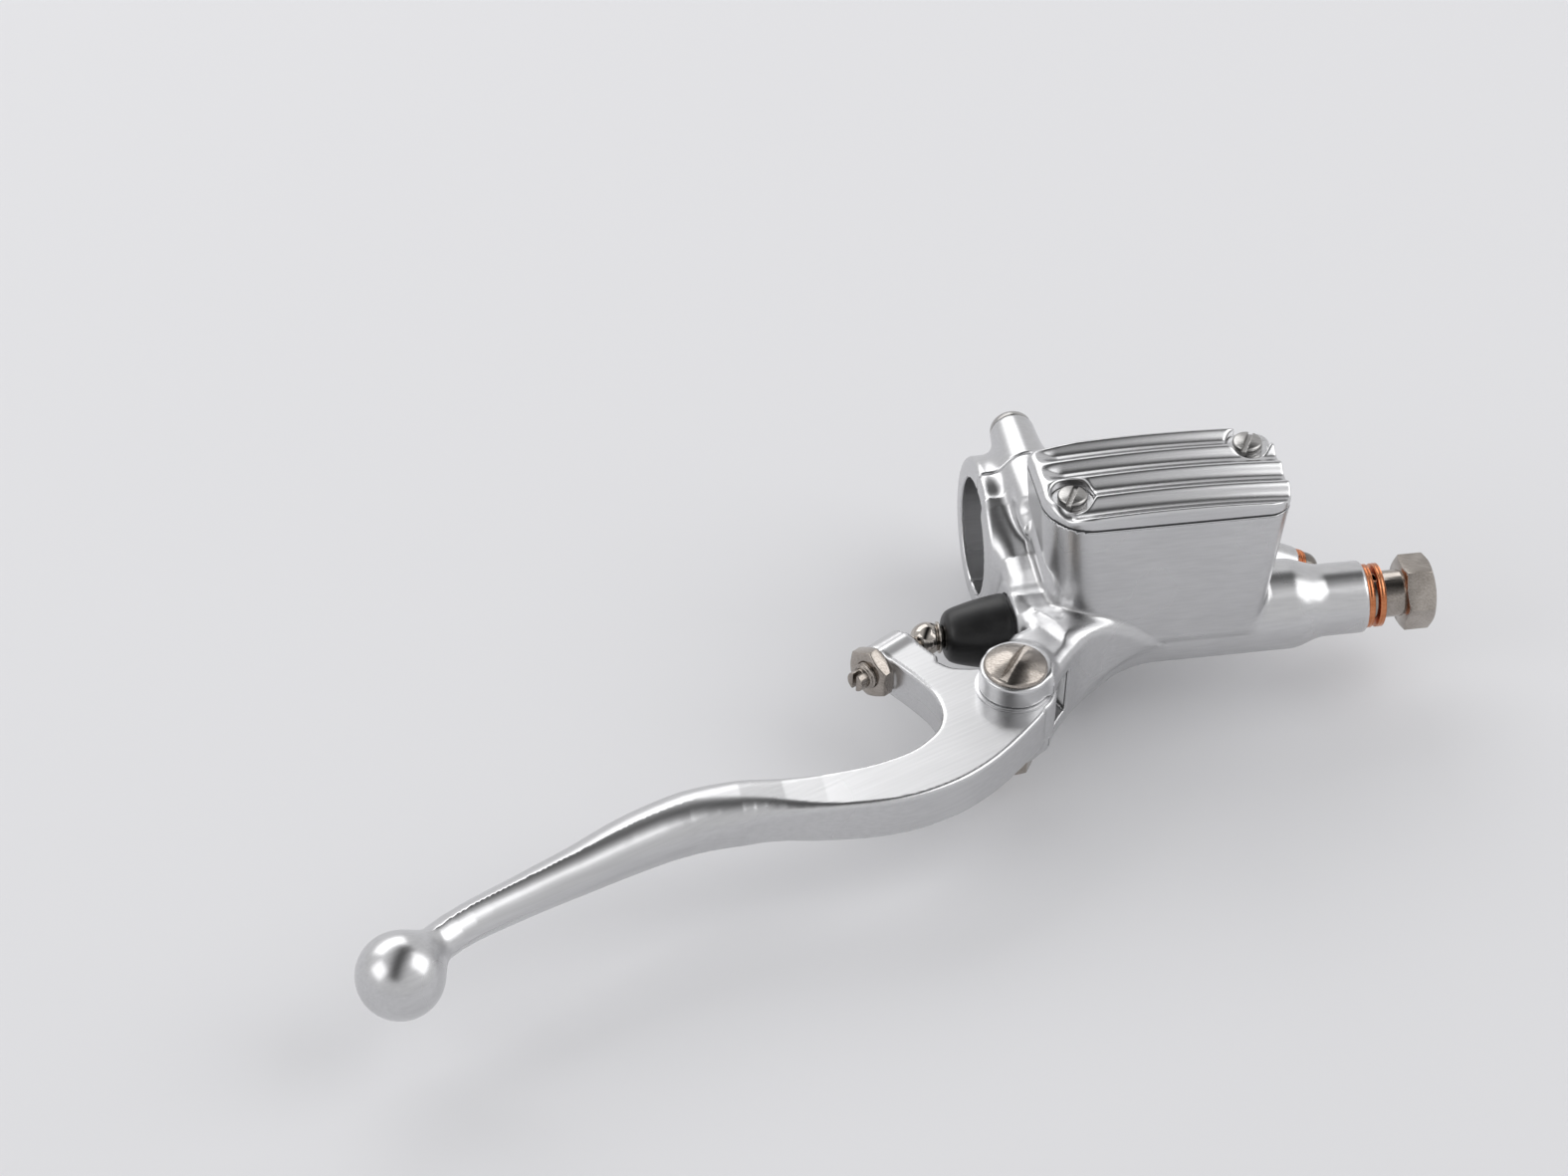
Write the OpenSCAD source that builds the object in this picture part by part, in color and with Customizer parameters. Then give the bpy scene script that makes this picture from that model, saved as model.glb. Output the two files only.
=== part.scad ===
// Front brake master cylinder for a motorcycle's right-hand control.
// Frame: +X along the handlebar towards the outlet, +Y towards the rider, +Z up.
// The origin is the centre of the handlebar clamp's bore.

/* [Handlebar clamp] */
// Diameter of the handlebar that the clamp holds
bar_diameter = 25.4; // [22:0.1:32]
// Width of the clamp along the handlebar
clamp_width = 21; // [16:0.5:28]
// Thickness of the clamp's ring
clamp_wall = 4.5; // [3:0.1:8]
// Height of each clamp bolt above or below the handlebar's axis
clamp_bolt_height = 16.4; // [15.5:0.1:24]
// Diameter of a clamp bolt
clamp_bolt_diameter = 5; // [4:1:8]
// Diameter of the clamp's bolt bosses at the split
clamp_boss_diameter = 11.2; // [8:0.1:16]
// Length of the cap's bolt bosses behind the split
clamp_boss_length = 14.3; // [10:0.5:24]

/* [Cylinder] */
// Diameter of the piston's bore
bore_diameter = 14; // [11:0.1:19]
// Distance of the bore's axis in front of the handlebar's axis
bore_setback = 31; // [28:0.1:45]
// Outside diameter of the cylinder housing
housing_diameter = 19.2; // [17:0.1:28]
// Position of the housing's open end
housing_start = -9.3; // [-12:0.1:-5]
// Position where the housing starts to neck down
neck_start = 50.5; // [44:0.1:60]
// Length of the neck's curve
neck_length = 8; // [4:0.1:14]
// Outside diameter of the outlet stub
outlet_diameter = 15.4; // [13:0.1:20]
// Position of the outlet's end face
outlet_end = 67.2; // [60:0.1:90]

/* [Reservoir] */
// Position of the reservoir's left side at the cover's joint
reservoir_left = -5; // [-10:0.1:0]
// Position of the reservoir's right side at the cover's joint
reservoir_right = 46.7; // [38:0.1:60]
// Distance of the reservoir's front face in front of the handlebar's axis
reservoir_front = 41; // [36:0.1:60]
// Distance of the reservoir's back face in front of the handlebar's axis
reservoir_back = 15.4; // [12.9:0.1:20]
// Height of the joint between the reservoir and its cover
joint_height = 33.5; // [26:0.1:45]
// Height of the reservoir's floor
floor_height = 12; // [10:0.1:18]
// Thickness of the reservoir's walls
reservoir_wall = 2.6; // [1.5:0.1:5]
// Radius of the reservoir's front left corner seen from above
big_corner = 10; // [4:0.5:12]
// Radius of the reservoir's front right corner seen from above
right_corner = 5.5; // [1:0.1:8]
// Radius of the reservoir's back corners seen from above
back_corner = 3; // [1:0.1:5]

/* [Cover] */
// Height of the cover's middle rib above its joint
cover_rise = 4.8; // [4.4:0.1:10]
// Distance between neighbouring ribs
rib_pitch = 6.2; // [4:0.1:8]
// Depth of the grooves between the ribs
rib_depth = 1.5; // [0.5:0.1:3]
// Thickness of the gasket
gasket_thickness = 0.5; // [0.3:0.1:1.5]
// Diameter of the cover screws' heads
cover_screw_head = 6.3; // [5:0.1:8]

/* [Pivot] */
// Position of the lever's pivot along the handlebar
pivot_x = -13.8; // [-20:0.1:-8]
// Distance of the lever's pivot in front of the handlebar's axis
pivot_setback = 53.7; // [48:0.1:70]
// Thickness of the lever at its pivot
lever_thickness = 10; // [7:0.1:14]
// Thickness of each pivot ear
ear_thickness = 5; // [3:0.1:8]
// Diameter of the upper pivot ear
ear_diameter = 14.8; // [13:0.1:22]
// Diameter of the pivot screw's shoulder
pivot_diameter = 8; // [6:0.1:10]

/* [Lever] */
// Radius of the lever's hub
hub_radius = 9; // [7:0.1:12]
// Distance from the pivot to the ball's centre along the handlebar
ball_reach = 133.6; // [110:0.1:160]
// Distance from the pivot to the ball's centre across the handlebar
ball_drop = 58.4; // [40:0.1:80]
// Diameter of the ball at the lever's end
ball_diameter = 17.6; // [14:0.1:22]
// Angle of the adjuster screw to the handlebar, in degrees
adjuster_angle = 32.7; // [20:0.1:45]
// Diameter of the adjuster screw
adjuster_diameter = 5.8; // [4:0.1:8]

/* [Piston and push rod] */
// Diameter of the push rod's ball head
push_head_diameter = 7; // [6:0.1:12]
// Diameter of the push rod's shank
push_rod_diameter = 4.4; // [3:0.1:6]
// Position of the push rod's ball head
push_head_x = -27.2; // [-34:0.1:-22]
// Length of the piston
piston_length = 33; // [24:0.1:40]
// Wire thickness of the return spring
spring_wire = 1.1; // [0.8:0.1:1.6]

/* [Outlets] */
// Thread diameter of the hydraulic bolts
outlet_bolt_diameter = 10; // [8:0.5:12]
// Outside diameter of the copper washers
washer_diameter = 13.6; // [12:0.1:18]
// Thickness of a copper washer
washer_thickness = 1.4; // [0.8:0.1:2.5]
// Distance across the flats of the outlet bolt's hexagon
outlet_hex = 14; // [12:0.5:19]
// Slope of the rear port below the horizontal, in degrees
port_slope = 25; // [10:1:40]
// Diameter of the rear port's boss
port_diameter = 9.6; // [8:0.1:14]

/* [Hidden] */
$fn = 64;
far = 60;
bar_radius = bar_diameter / 2;
clamp_radius = bar_radius + clamp_wall;
clamp_bolt_reach = 9;
clamp_head_radius = 4.6;
clamp_head_height = 2.8;
socket_flats = 3;
bore_y = -bore_setback;
bore_radius = bore_diameter / 2;
housing_radius = housing_diameter / 2;
outlet_radius = outlet_diameter / 2;
pivot = [pivot_x, -pivot_setback];
ear_inner = lever_thickness / 2 + 0.5;
ear_outer = ear_inner + ear_thickness;
slot_radius = hub_radius + 3.2;
shoulder_radius = pivot_diameter / 2;
bush_radius = shoulder_radius + 1.5;
shim_thickness = ear_inner - lever_thickness / 2 - 0.08;
pivot_thread_radius = 3;
pivot_nut_height = 5;
fit_gap = 0.03;
cover_bottom = joint_height + gasket_thickness;
cover_top = joint_height + cover_rise;
reservoir_middle = -(reservoir_front + reservoir_back) / 2;
screw_spots = [
    [reservoir_left + 6.3, -reservoir_front + 9],
    [reservoir_right - 5.2, -reservoir_back - 4.6]
];
screw_radius = 2;
screw_hole_depth = 10;
screw_post_radius = 4.3;
head_floor = joint_height + 1.4;
recess_gap = 1.4;
gasket_width = 1.4;
stop_face = housing_start + 4.9;
circlip_width = 0.95;
circlip_depth = 0.8;
stop_washer_thickness = 0.9;
stop_washer_hole = 4.1;
piston_end = stop_face + piston_length;
socket_centre = stop_face + 3.4;
push_ball_radius = 3;
bore_end = 50;
nose_radius = 3.6;
seat_flange = 0.8;
boot_seat_depth = 2.8;
boot_radius = housing_radius - 1.9;
outlet_bolt_radius = outlet_bolt_diameter / 2;
port_end = [54.9, bore_y + 13.6, -2.25];
port_run = 17;
port_hole_depth = 9;
port_bolt_radius = 3;
port_washer_radius = 4.6;
port_washer_thickness = 1;
adjuster_radius = adjuster_diameter / 2;
push_head_radius = push_head_diameter / 2;
contact_gap = 0.15;
adjuster_tip = push_head_radius + contact_gap;
arm_face = 6;
nut_face = 14.2;
locknut_height = 3.2;
adjuster_length = 17.3;
ball_centre = [pivot_x - ball_reach, -pivot_setback - ball_drop, 0];

// Extrudes a YZ outline from x0 to x1.
module prism_x(x0, x1) {
    translate([x0, 0, 0]) rotate([90, 0, 90]) linear_extrude(x1 - x0) children();
}

// Extrudes an XZ outline from y0 to y1.
module prism_y(y0, y1) {
    translate([0, y1, 0]) rotate([90, 0, 0]) linear_extrude(y1 - y0) children();
}

// Extrudes an XY outline from z0 to z1.
module prism_z(z0, z1) {
    translate([0, 0, z0]) linear_extrude(z1 - z0) children();
}

// A cylinder or cone on the bore's axis, from x0 to x1.
module on_bore(x0, x1, r0, r1) {
    translate([x0, bore_y, 0]) rotate([0, 90, 0]) cylinder(h = x1 - x0, r1 = r0, r2 = r1);
}

// Turns an outline of radius and height into a solid on the bore's axis, height along +X.
module turned_on_bore() {
    translate([0, bore_y, 0]) rotate([0, 90, 0]) rotate_extrude() children();
}

// Places things along the rear port's axis, with the port's face at the origin.
module at_port() {
    translate(port_end) rotate([0, 90 + port_slope, 0]) children();
}

// Places things along the adjuster's axis, starting at the push rod's head and going outwards.
module at_adjuster() {
    translate([push_head_x, bore_y, 0]) rotate([0, 0, adjuster_angle]) rotate([0, -90, 0]) children();
}

// A hexagonal prism with both ends chamfered.
module hex_bar(flats, height) {
    end_radius = flats / 2 - 0.2;
    intersection() {
        cylinder(h = height, r = flats / sqrt(3), $fn = 6);
        union() {
            cylinder(h = height / 2, r1 = end_radius, r2 = end_radius + height);
            translate([0, 0, height / 2])
                cylinder(h = height / 2, r1 = end_radius + height, r2 = end_radius);
        }
    }
}

// Points of an arc, from one angle to another, in degrees.
function arc(centre, radius, from, to, steps) = [
    for (i = [0 : steps]) let (angle = from + (to - from) * i / steps)
        centre + radius * [cos(angle), sin(angle)]
];

// Plan of the reservoir, moved in from its joint outline by a distance.
module reservoir_plan(inset) {
    x0 = reservoir_left + inset;
    x1 = reservoir_right - inset;
    y0 = -reservoir_front + inset;
    y1 = -reservoir_back - inset;
    big = max(big_corner - inset, 1);
    right = max(right_corner - inset, 0.8);
    small = max(back_corner - inset, 0.8);
    polygon(concat(
        arc([x0 + big, y0 + big], big, 180, 270, 14),
        arc([x1 - right, y0 + right], right, 270, 360, 6),
        arc([x1 - small, y1 - small], small, 0, 90, 6),
        arc([x0 + small, y1 - small], small, 90, 180, 6)
    ));
}

// Reservoir box, tapering downwards at its sides, from its foot inside the housing to the joint.
module reservoir_shell() {
    side_draft = 3.2;
    foot_height = 2;
    intersection() {
        prism_z(foot_height, joint_height) reservoir_plan(0);
        prism_y(-far, 0) polygon([
            [reservoir_left, joint_height],
            [reservoir_left + side_draft, foot_height],
            [reservoir_right - side_draft, foot_height],
            [reservoir_right, joint_height]
        ]);
    }
}

// Half of the clamp ring's side view: -1 is the half in front of the split, 1 the half behind it.
module half_ring(side) {
    intersection() {
        circle(r = clamp_radius);
        translate([side < 0 ? -far : 0, -far]) square([far, 2 * far]);
    }
}

// Plan of the arm that carries the pivot ears.
module arm_outline() {
    polygon(concat(
        arc([33.4, -80.4], 45.7, 151, 99, 16),
        [[26, -31], [housing_start, -31], [housing_start, -33], [-8.2, -36], [-9, -40.5],
        [-11.8, -41.8], [-14.2, -45], [-18, -47.6]]
    ));
    translate(pivot) circle(r = ear_diameter / 2);
}

// Radius along the cylinder housing, with its S-shaped neck to the outlet stub.
module housing_outline() {
    steps = 8;
    polygon(concat(
        [[0, housing_start], [housing_radius - 0.5, housing_start], [housing_radius, housing_start + 0.5]],
        [for (i = [0 : steps]) [
            housing_radius + (outlet_radius - housing_radius) * (1 - cos(180 * i / steps)) / 2,
            neck_start + neck_length * i / steps
        ]],
        [[outlet_radius, outlet_end - 0.4], [outlet_radius - 0.4, outlet_end], [0, outlet_end]]
    ));
}

// One casting: cylinder, reservoir, front half of the clamp, pivot ears and the rear port's boss.
module body() color("#c9cbce") difference() {
    union() {
        turned_on_bore() housing_outline();
        reservoir_shell();
        prism_x(-clamp_width / 2, clamp_width / 2) half_ring(-1);
        prism_x(housing_start, clamp_width / 2)
            polygon([[-9, 14.4], [-19, 10], [-31, 9.6], [-31, -9.6], [-19, -10], [-9, -14.4]]);
        for (side = [-1, 1])
            translate([0, 0, side * clamp_bolt_height]) rotate([90, 0, 0])
                cylinder(h = 17, r1 = clamp_boss_diameter / 2, r2 = clamp_boss_diameter / 2 - 0.8);
        prism_z(-ear_outer, ear_outer) arm_outline();
        at_port() translate([0, 0, -port_run]) cylinder(h = port_run, r = port_diameter / 2);
    }
    prism_x(-far, far) circle(r = bar_radius);
    for (side = [-1, 1])
        translate([0, 1, side * clamp_bolt_height]) rotate([90, 0, 0])
            cylinder(h = clamp_bolt_reach + 3, r = clamp_bolt_diameter / 2 + fit_gap);
    translate([0, 0, -ear_inner]) translate(pivot) cylinder(h = 2 * ear_inner, r = slot_radius);
    translate([pivot_x - 20, -pivot_setback - slot_radius, -ear_inner])
        cube([20, slot_radius + 8, 2 * ear_inner]);
    translate([pivot_x, -pivot_setback, 0]) cylinder(h = ear_outer + 1, r = shoulder_radius + fit_gap);
    translate([pivot_x, -pivot_setback, -ear_outer - 1])
        cylinder(h = ear_outer, r = pivot_thread_radius + fit_gap);
    cylinder_bore();
    at_port() translate([0, 0, -port_hole_depth])
        cylinder(h = port_hole_depth + 1, r = port_bolt_radius + fit_gap);
    reservoir_cavity();
    for (spot = screw_spots)
        translate([spot[0], spot[1], joint_height - screw_hole_depth])
            cylinder(h = screw_hole_depth + 2, r = screw_radius + fit_gap);
}

// Stepped bore with the boot's seat, the circlip's groove, the outlet and the ports to the reservoir.
module cylinder_bore() {
    groove_start = stop_face - stop_washer_thickness - circlip_width - 0.05;
    passage = 2;
    on_bore(housing_start - 3, bore_end, bore_radius, bore_radius);
    on_bore(housing_start - 3, housing_start + boot_seat_depth, boot_radius + 0.1, boot_radius + 0.1);
    on_bore(groove_start, groove_start + circlip_width + 0.1, bore_radius + 0.9, bore_radius + 0.9);
    on_bore(bore_end - 0.1, bore_end + 3, bore_radius, passage);
    on_bore(bore_end, bore_end + 6, passage, passage);
    on_bore(bore_end + 4, outlet_end + 1, outlet_bolt_radius + fit_gap, outlet_bolt_radius + fit_gap);
    translate([bore_end - 4, bore_y, 1.7]) rotate([-90, 0, 0]) cylinder(h = 13, r = 1);
    translate([15.5, bore_y, 4]) cylinder(h = 10, r = 1.5);
    translate([piston_end + 3, bore_y, 4]) cylinder(h = 10, r = 0.6);
}

// Hollow of the reservoir, leaving a post round each cover screw.
module reservoir_cavity() {
    difference() {
        intersection() {
            prism_z(floor_height, joint_height + 1) reservoir_plan(reservoir_wall);
            prism_y(-far, 0) polygon([
                [reservoir_left + reservoir_wall, joint_height + 1],
                [reservoir_left + reservoir_wall + 2, floor_height],
                [reservoir_right - reservoir_wall - 2, floor_height],
                [reservoir_right - reservoir_wall, joint_height + 1]
            ]);
        }
        for (spot = screw_spots)
            translate([spot[0], spot[1], floor_height - 1])
                cylinder(h = joint_height, r = screw_post_radius);
    }
}

// Back half of the clamp, with a boss for each bolt.
module clamp_cap() color("#c9cbce") difference() {
    union() {
        prism_x(-clamp_width / 2, clamp_width / 2) half_ring(1);
        for (side = [-1, 1])
            translate([0, 0, side * clamp_bolt_height]) rotate([-90, 0, 0])
                cylinder(h = clamp_boss_length, r1 = clamp_boss_diameter / 2,
                    r2 = clamp_boss_diameter / 2 - 0.9);
    }
    prism_x(-far, far) circle(r = bar_radius);
    for (side = [-1, 1])
        translate([0, -1, side * clamp_bolt_height]) rotate([-90, 0, 0])
            cylinder(h = clamp_boss_length + 2, r = clamp_bolt_diameter / 2 + 0.1);
}

// Dome-headed socket screws through the cap into the body.
module clamp_bolts() color("#8f8d89") for (side = [-1, 1])
    translate([0, clamp_boss_length, side * clamp_bolt_height]) difference() {
        union() {
            rotate([90, 0, 0])
                cylinder(h = clamp_boss_length + clamp_bolt_reach, r = clamp_bolt_diameter / 2);
            rotate([-90, 0, 0]) rotate_extrude() polygon(concat(
                [[0, 0], [clamp_head_radius, 0], [clamp_head_radius, 0.5]],
                [for (i = [1 : 7]) [clamp_head_radius * cos(i * 10), 0.5 + 2.25 * sin(i * 90 / 7)]],
                [[0, clamp_head_height]]
            ));
        }
        translate([0, clamp_head_height - 1.7, 0]) rotate([-90, 0, 0])
            cylinder(h = 3, r = socket_flats / sqrt(3), $fn = 6);
    }

// Height of the cover's top below its middle rib, with the ribs as a wave on a dome.
function cover_wave(y) = let (
        dome_drop = 0.9,
        out = (y - reservoir_middle) / (reservoir_front - reservoir_back) * 2,
        phase = 360 * (y - reservoir_middle) / rib_pitch
    ) -dome_drop * out * out - rib_depth * (1 - cos(phase)) / 2;

// The ribbed top, swept along the shallow arch that lowers the cover's ends.
module cover_arch() {
    arch_radius = 300;
    half_angle = 8;
    steps = 48;
    middle = (reservoir_left + reservoir_right) / 2;
    depth = 10;
    y0 = -reservoir_front;
    y1 = -reservoir_back;
    translate([middle, 0, cover_top - arch_radius]) rotate([90, 0, 0]) rotate([0, 0, 90 - half_angle])
        rotate_extrude(angle = 2 * half_angle, $fn = 720) polygon(concat(
            [[arch_radius - depth, -y0], [arch_radius - depth, -y1]],
            [for (i = [0 : steps]) let (y = y1 + (y0 - y1) * i / steps) [arch_radius + cover_wave(y), -y]]
        ));
}

// Cover with a shallow hollow underneath and a recess for each screw, the back one open at its corner.
module reservoir_cover() color("#c9cbce") difference() {
    hollow = 0.7;
    recess_radius = cover_screw_head / 2 + recess_gap;
    intersection() {
        prism_z(cover_bottom, cover_top + 2) reservoir_plan(0);
        cover_arch();
    }
    difference() {
        prism_z(cover_bottom - 1, cover_bottom + hollow) reservoir_plan(5);
        for (spot = screw_spots)
            translate([spot[0], spot[1], cover_bottom - 2]) cylinder(h = 10, r = screw_post_radius + 1.1);
    }
    for (spot = screw_spots) {
        translate([spot[0], spot[1], head_floor]) cylinder(h = 10, r = recess_radius);
        translate([spot[0], spot[1], cover_bottom - 1]) cylinder(h = 10, r = screw_radius + 0.15);
    }
    translate([screw_spots[1][0], screw_spots[1][1], head_floor]) cube([8, 10, 10]);
}

// Flat seal between the reservoir and its cover.
module cover_gasket() color("#1c1c1d") difference() {
    prism_z(joint_height, cover_bottom) reservoir_plan(0.15);
    prism_z(joint_height - 1, cover_bottom + 1) reservoir_plan(gasket_width);
}

// Rubber bellows that hangs into the reservoir from the joint.
module diaphragm() color("#232325") difference() {
    cup_depth = 7;
    rubber = 1.2;
    clear = 1.1;
    union() {
        prism_z(joint_height, cover_bottom) reservoir_plan(gasket_width);
        prism_z(joint_height - cup_depth, joint_height + 0.1) cup_plan(clear);
    }
    prism_z(joint_height - cup_depth + rubber, cover_bottom + 1) cup_plan(clear + rubber);
    for (spot = screw_spots)
        translate([spot[0], spot[1], joint_height - 8]) cylinder(h = 12, r = screw_radius + 0.3);
}

// Plan of the bellows, clear of the walls and of the screw posts.
module cup_plan(inset) {
    difference() {
        reservoir_plan(reservoir_wall + inset);
        for (spot = screw_spots) translate(spot) circle(r = screw_post_radius + 0.2 + inset);
    }
}

// Cheese-head screws with a chamfered top and a straight slot.
module cover_screws() color("#8f8d89") for (spot = screw_spots)
    translate([spot[0], spot[1], head_floor]) difference() {
        head_height = 2.3;
        chamfer = 0.4;
        head_radius = cover_screw_head / 2;
        slot_width = 1.1;
        union() {
            cylinder(h = head_height - chamfer, r = head_radius);
            translate([0, 0, head_height - chamfer])
                cylinder(h = chamfer, r1 = head_radius, r2 = head_radius - chamfer);
            translate([0, 0, 0.5 - screw_hole_depth]) cylinder(h = screw_hole_depth, r = screw_radius);
        }
        rotate([0, 0, 62]) translate([-5, -slot_width / 2, head_height - 1.2]) cube([10, slot_width, 3]);
    }

// Plan of the lever from its hub to where the blade becomes round.
module lever_outline() {
    back = [[-58.1, -73.5], [-51.8, -72.8], [-45.2, -71.5], [-38.5, -69.2], [-34.3, -66.3], [-31.6, -63.4],
        [-30.1, -59.6], [-30, -55.7], [-31.1, -51.8], [-33.9, -46.7]];
    arm = [at_arm(nut_face, 2.5), at_arm(nut_face, 0), at_arm(arm_face, 0), at_arm(arm_face, 9)];
    front = [[-27.6, -43.6], [-24.8, -45.9], [-19.6, -46.8], [pivot_x, -pivot_setback + 6],
        [pivot_x + 6, -pivot_setback], [-8.2, -60.5], [-12.4, -65.7], [-20.5, -73.2], [-27.8, -78.1],
        [-34.7, -81.1], [-41.3, -82.8], [-47.6, -83.4], [-53.8, -83.1],
        [-62, -81.9], [-72, -79.6], [-72, -73.6]];
    polygon(concat(back, arm, front));
    translate(pivot) circle(r = hub_radius);
}

// A point beside the adjuster's axis: distance outwards along it, then distance towards the pivot.
function at_arm(along, aside) = [
    push_head_x - along * cos(adjuster_angle) + aside * sin(adjuster_angle),
    bore_y - along * sin(adjuster_angle) - aside * cos(adjuster_angle)
];

// One oval station of the blade: place, half width, half height.
module blade_station(place, wide, tall) {
    translate([place[0], place[1], 0]) rotate([0, 0, 22]) scale([wide, wide, tall]) sphere(r = 1, $fn = 24);
}

// Blade as oval stations joined one to the next.
module blade() {
    stations = [
        [[-64, -77.7], 4.4, 5], [[-75, -77.3], 5.8, 6], [[-86, -78.6], 6.4, 6.1], [[-98, -83], 6.1, 5.7],
        [[-110, -88.9], 5.3, 5.2], [[-122, -94.6], 4.8, 4.8], [[-136, -102], 4.5, 4.5],
        [[ball_centre[0], ball_centre[1]], 4.6, 4.6]
    ];
    for (i = [0 : len(stations) - 2]) hull() {
        blade_station(stations[i][0], stations[i][1], stations[i][2]);
        blade_station(stations[i + 1][0], stations[i + 1][1], stations[i + 1][2]);
    }
}

// Lever with its adjuster boss, oval blade and ball end.
module lever() color("#c9cbce") difference() {
    union() {
        prism_z(-lever_thickness / 2, lever_thickness / 2) lever_outline();
        at_adjuster() translate([0, 0, arm_face])
            cylinder(h = nut_face - arm_face, r = lever_thickness / 2 - 0.02);
        blade();
        translate(ball_centre) sphere(r = ball_diameter / 2);
    }
    translate([pivot_x, -pivot_setback, -10]) cylinder(h = 20, r = bush_radius);
    at_adjuster() cylinder(h = 20, r = adjuster_radius + fit_gap);
}

// Shoulder screw with a thin rim, a low dome and a wide slot.
module pivot_screw() color("#8f8d89") translate([pivot_x, -pivot_setback, 0]) difference() {
    rim = 6.7;
    dome_foot = 0.7;
    dome_rise = 1.9;
    slot_width = 1.4;
    union() {
        translate([0, 0, -ear_inner]) cylinder(h = ear_outer + ear_inner + 0.3, r = shoulder_radius);
        translate([0, 0, -ear_outer - pivot_nut_height - 1.2])
            cylinder(h = ear_outer + pivot_nut_height, r = pivot_thread_radius);
        translate([0, 0, ear_outer]) rotate_extrude() polygon(concat(
            [[0, 0], [rim - 0.3, 0], [rim, 0.3], [rim, dome_foot]],
            [for (i = [1 : 8]) let (r = (rim - 0.2) * (1 - i / 8))
                [r, dome_foot + dome_rise * (1 - r * r / (rim * rim))]]
        ));
    }
    translate([0, 0, ear_outer + 1.1]) rotate([0, 0, 52])
        translate([-8, -slot_width / 2, 0]) cube([16, slot_width, 3]);
}

// Locknut under the lower ear.
module pivot_nut() color("#8f8d89") translate([pivot_x, -pivot_setback, -ear_outer - pivot_nut_height])
    difference() {
        hex_bar(10, pivot_nut_height);
        translate([0, 0, -1]) cylinder(h = 10, r = pivot_thread_radius + fit_gap);
    }

// Plain bush pressed into the lever's hub.
module pivot_bush() color("#b08d57")
translate([pivot_x, -pivot_setback, -lever_thickness / 2]) difference() {
    cylinder(h = lever_thickness, r = bush_radius);
    translate([0, 0, -1]) cylinder(h = 20, r = shoulder_radius + fit_gap);
}

// Thin washers above and below the hub.
module lever_shims() color("#b8babd")
for (low = [lever_thickness / 2, -lever_thickness / 2 - shim_thickness])
    translate([pivot_x, -pivot_setback, low]) difference() {
        cylinder(h = shim_thickness, r = hub_radius - 0.9);
        translate([0, 0, -1]) cylinder(h = 3, r = shoulder_radius + fit_gap);
    }

// Set screw with a chamfered tip at the push rod and a thinner slotted end.
module adjuster_screw() color("#8f8d89") at_adjuster() difference() {
    chamfer = 0.6;
    thin_end = 2.6;
    thread_end = adjuster_tip + adjuster_length - thin_end;
    union() {
        translate([0, 0, adjuster_tip])
            cylinder(h = chamfer, r1 = adjuster_radius - chamfer, r2 = adjuster_radius);
        translate([0, 0, adjuster_tip + chamfer])
            cylinder(h = thread_end - adjuster_tip - chamfer, r = adjuster_radius);
        translate([0, 0, thread_end]) cylinder(h = thin_end, r = adjuster_radius - 0.7);
    }
    translate([-5, -0.5, thread_end + 0.8]) cube([10, 1, 3]);
}

// Locknut against the lever's adjuster boss.
module adjuster_locknut() color("#8f8d89") at_adjuster() translate([0, 0, nut_face]) difference() {
    hex_bar(10, locknut_height);
    translate([0, 0, -1]) cylinder(h = 10, r = adjuster_radius + fit_gap);
}

// Push rod turned in one piece: a ball head cut flat at its back, a shank and the ball in the piston.
module push_rod() color("#b9b7b2") turned_on_bore() difference() {
    head_back = push_head_x + 2.6;
    union() {
        intersection() {
            translate([0, push_head_x]) circle(r = push_head_radius);
            translate([-far, head_back - far]) square([2 * far, far]);
        }
        translate([0, push_head_x]) square([push_rod_diameter / 2, socket_centre - push_head_x]);
        translate([0, socket_centre]) circle(r = push_ball_radius);
    }
    translate([-far, -far]) square([far, 2 * far]);
}

// Rubber boot with a rounded small end round the push rod and a lip in the bore's mouth.
module rubber_boot() color("#161617") turned_on_bore() {
    mouth = housing_start + boot_seat_depth - 0.2;
    neck = push_rod_diameter / 2 + 0.3;
    polygon(concat(
        [[neck, push_head_x + 3.6], [4.4, push_head_x + 3.6]],
        arc([4.2, push_head_x + 4.9], 1.3, -70, 0, 4),
        [[boot_radius, housing_start - 1.6], [boot_radius + 0.6, housing_start - 0.6]],
        [[boot_radius + 0.6, housing_start - 0.1], [boot_radius, housing_start - 0.1]],
        [[boot_radius, mouth], [boot_radius - 1.2, mouth], [boot_radius - 1.2, housing_start - 2.2]],
        [[4.3, push_head_x + 6.4], [neck, push_head_x + 6.2]]
    ));
}

// Inner circlip, open at the bottom.
module circlip() color("#77787a") difference() {
    back = stop_face - stop_washer_thickness;
    outer = bore_radius + circlip_depth;
    on_bore(back - circlip_width, back, outer, outer);
    on_bore(back - 2, back + 1, bore_radius - 1.2, bore_radius - 1.2);
    translate([back - 2, bore_y - 2.2, -12]) cube([4, 4.4, 12]);
}

// Washer that stops the piston at rest.
module stop_washer() color("#8f8d89") difference() {
    on_bore(stop_face - stop_washer_thickness, stop_face, bore_radius - 0.1, bore_radius - 0.1);
    on_bore(stop_face - 2, stop_face + 1, stop_washer_hole, stop_washer_hole);
}

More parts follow.
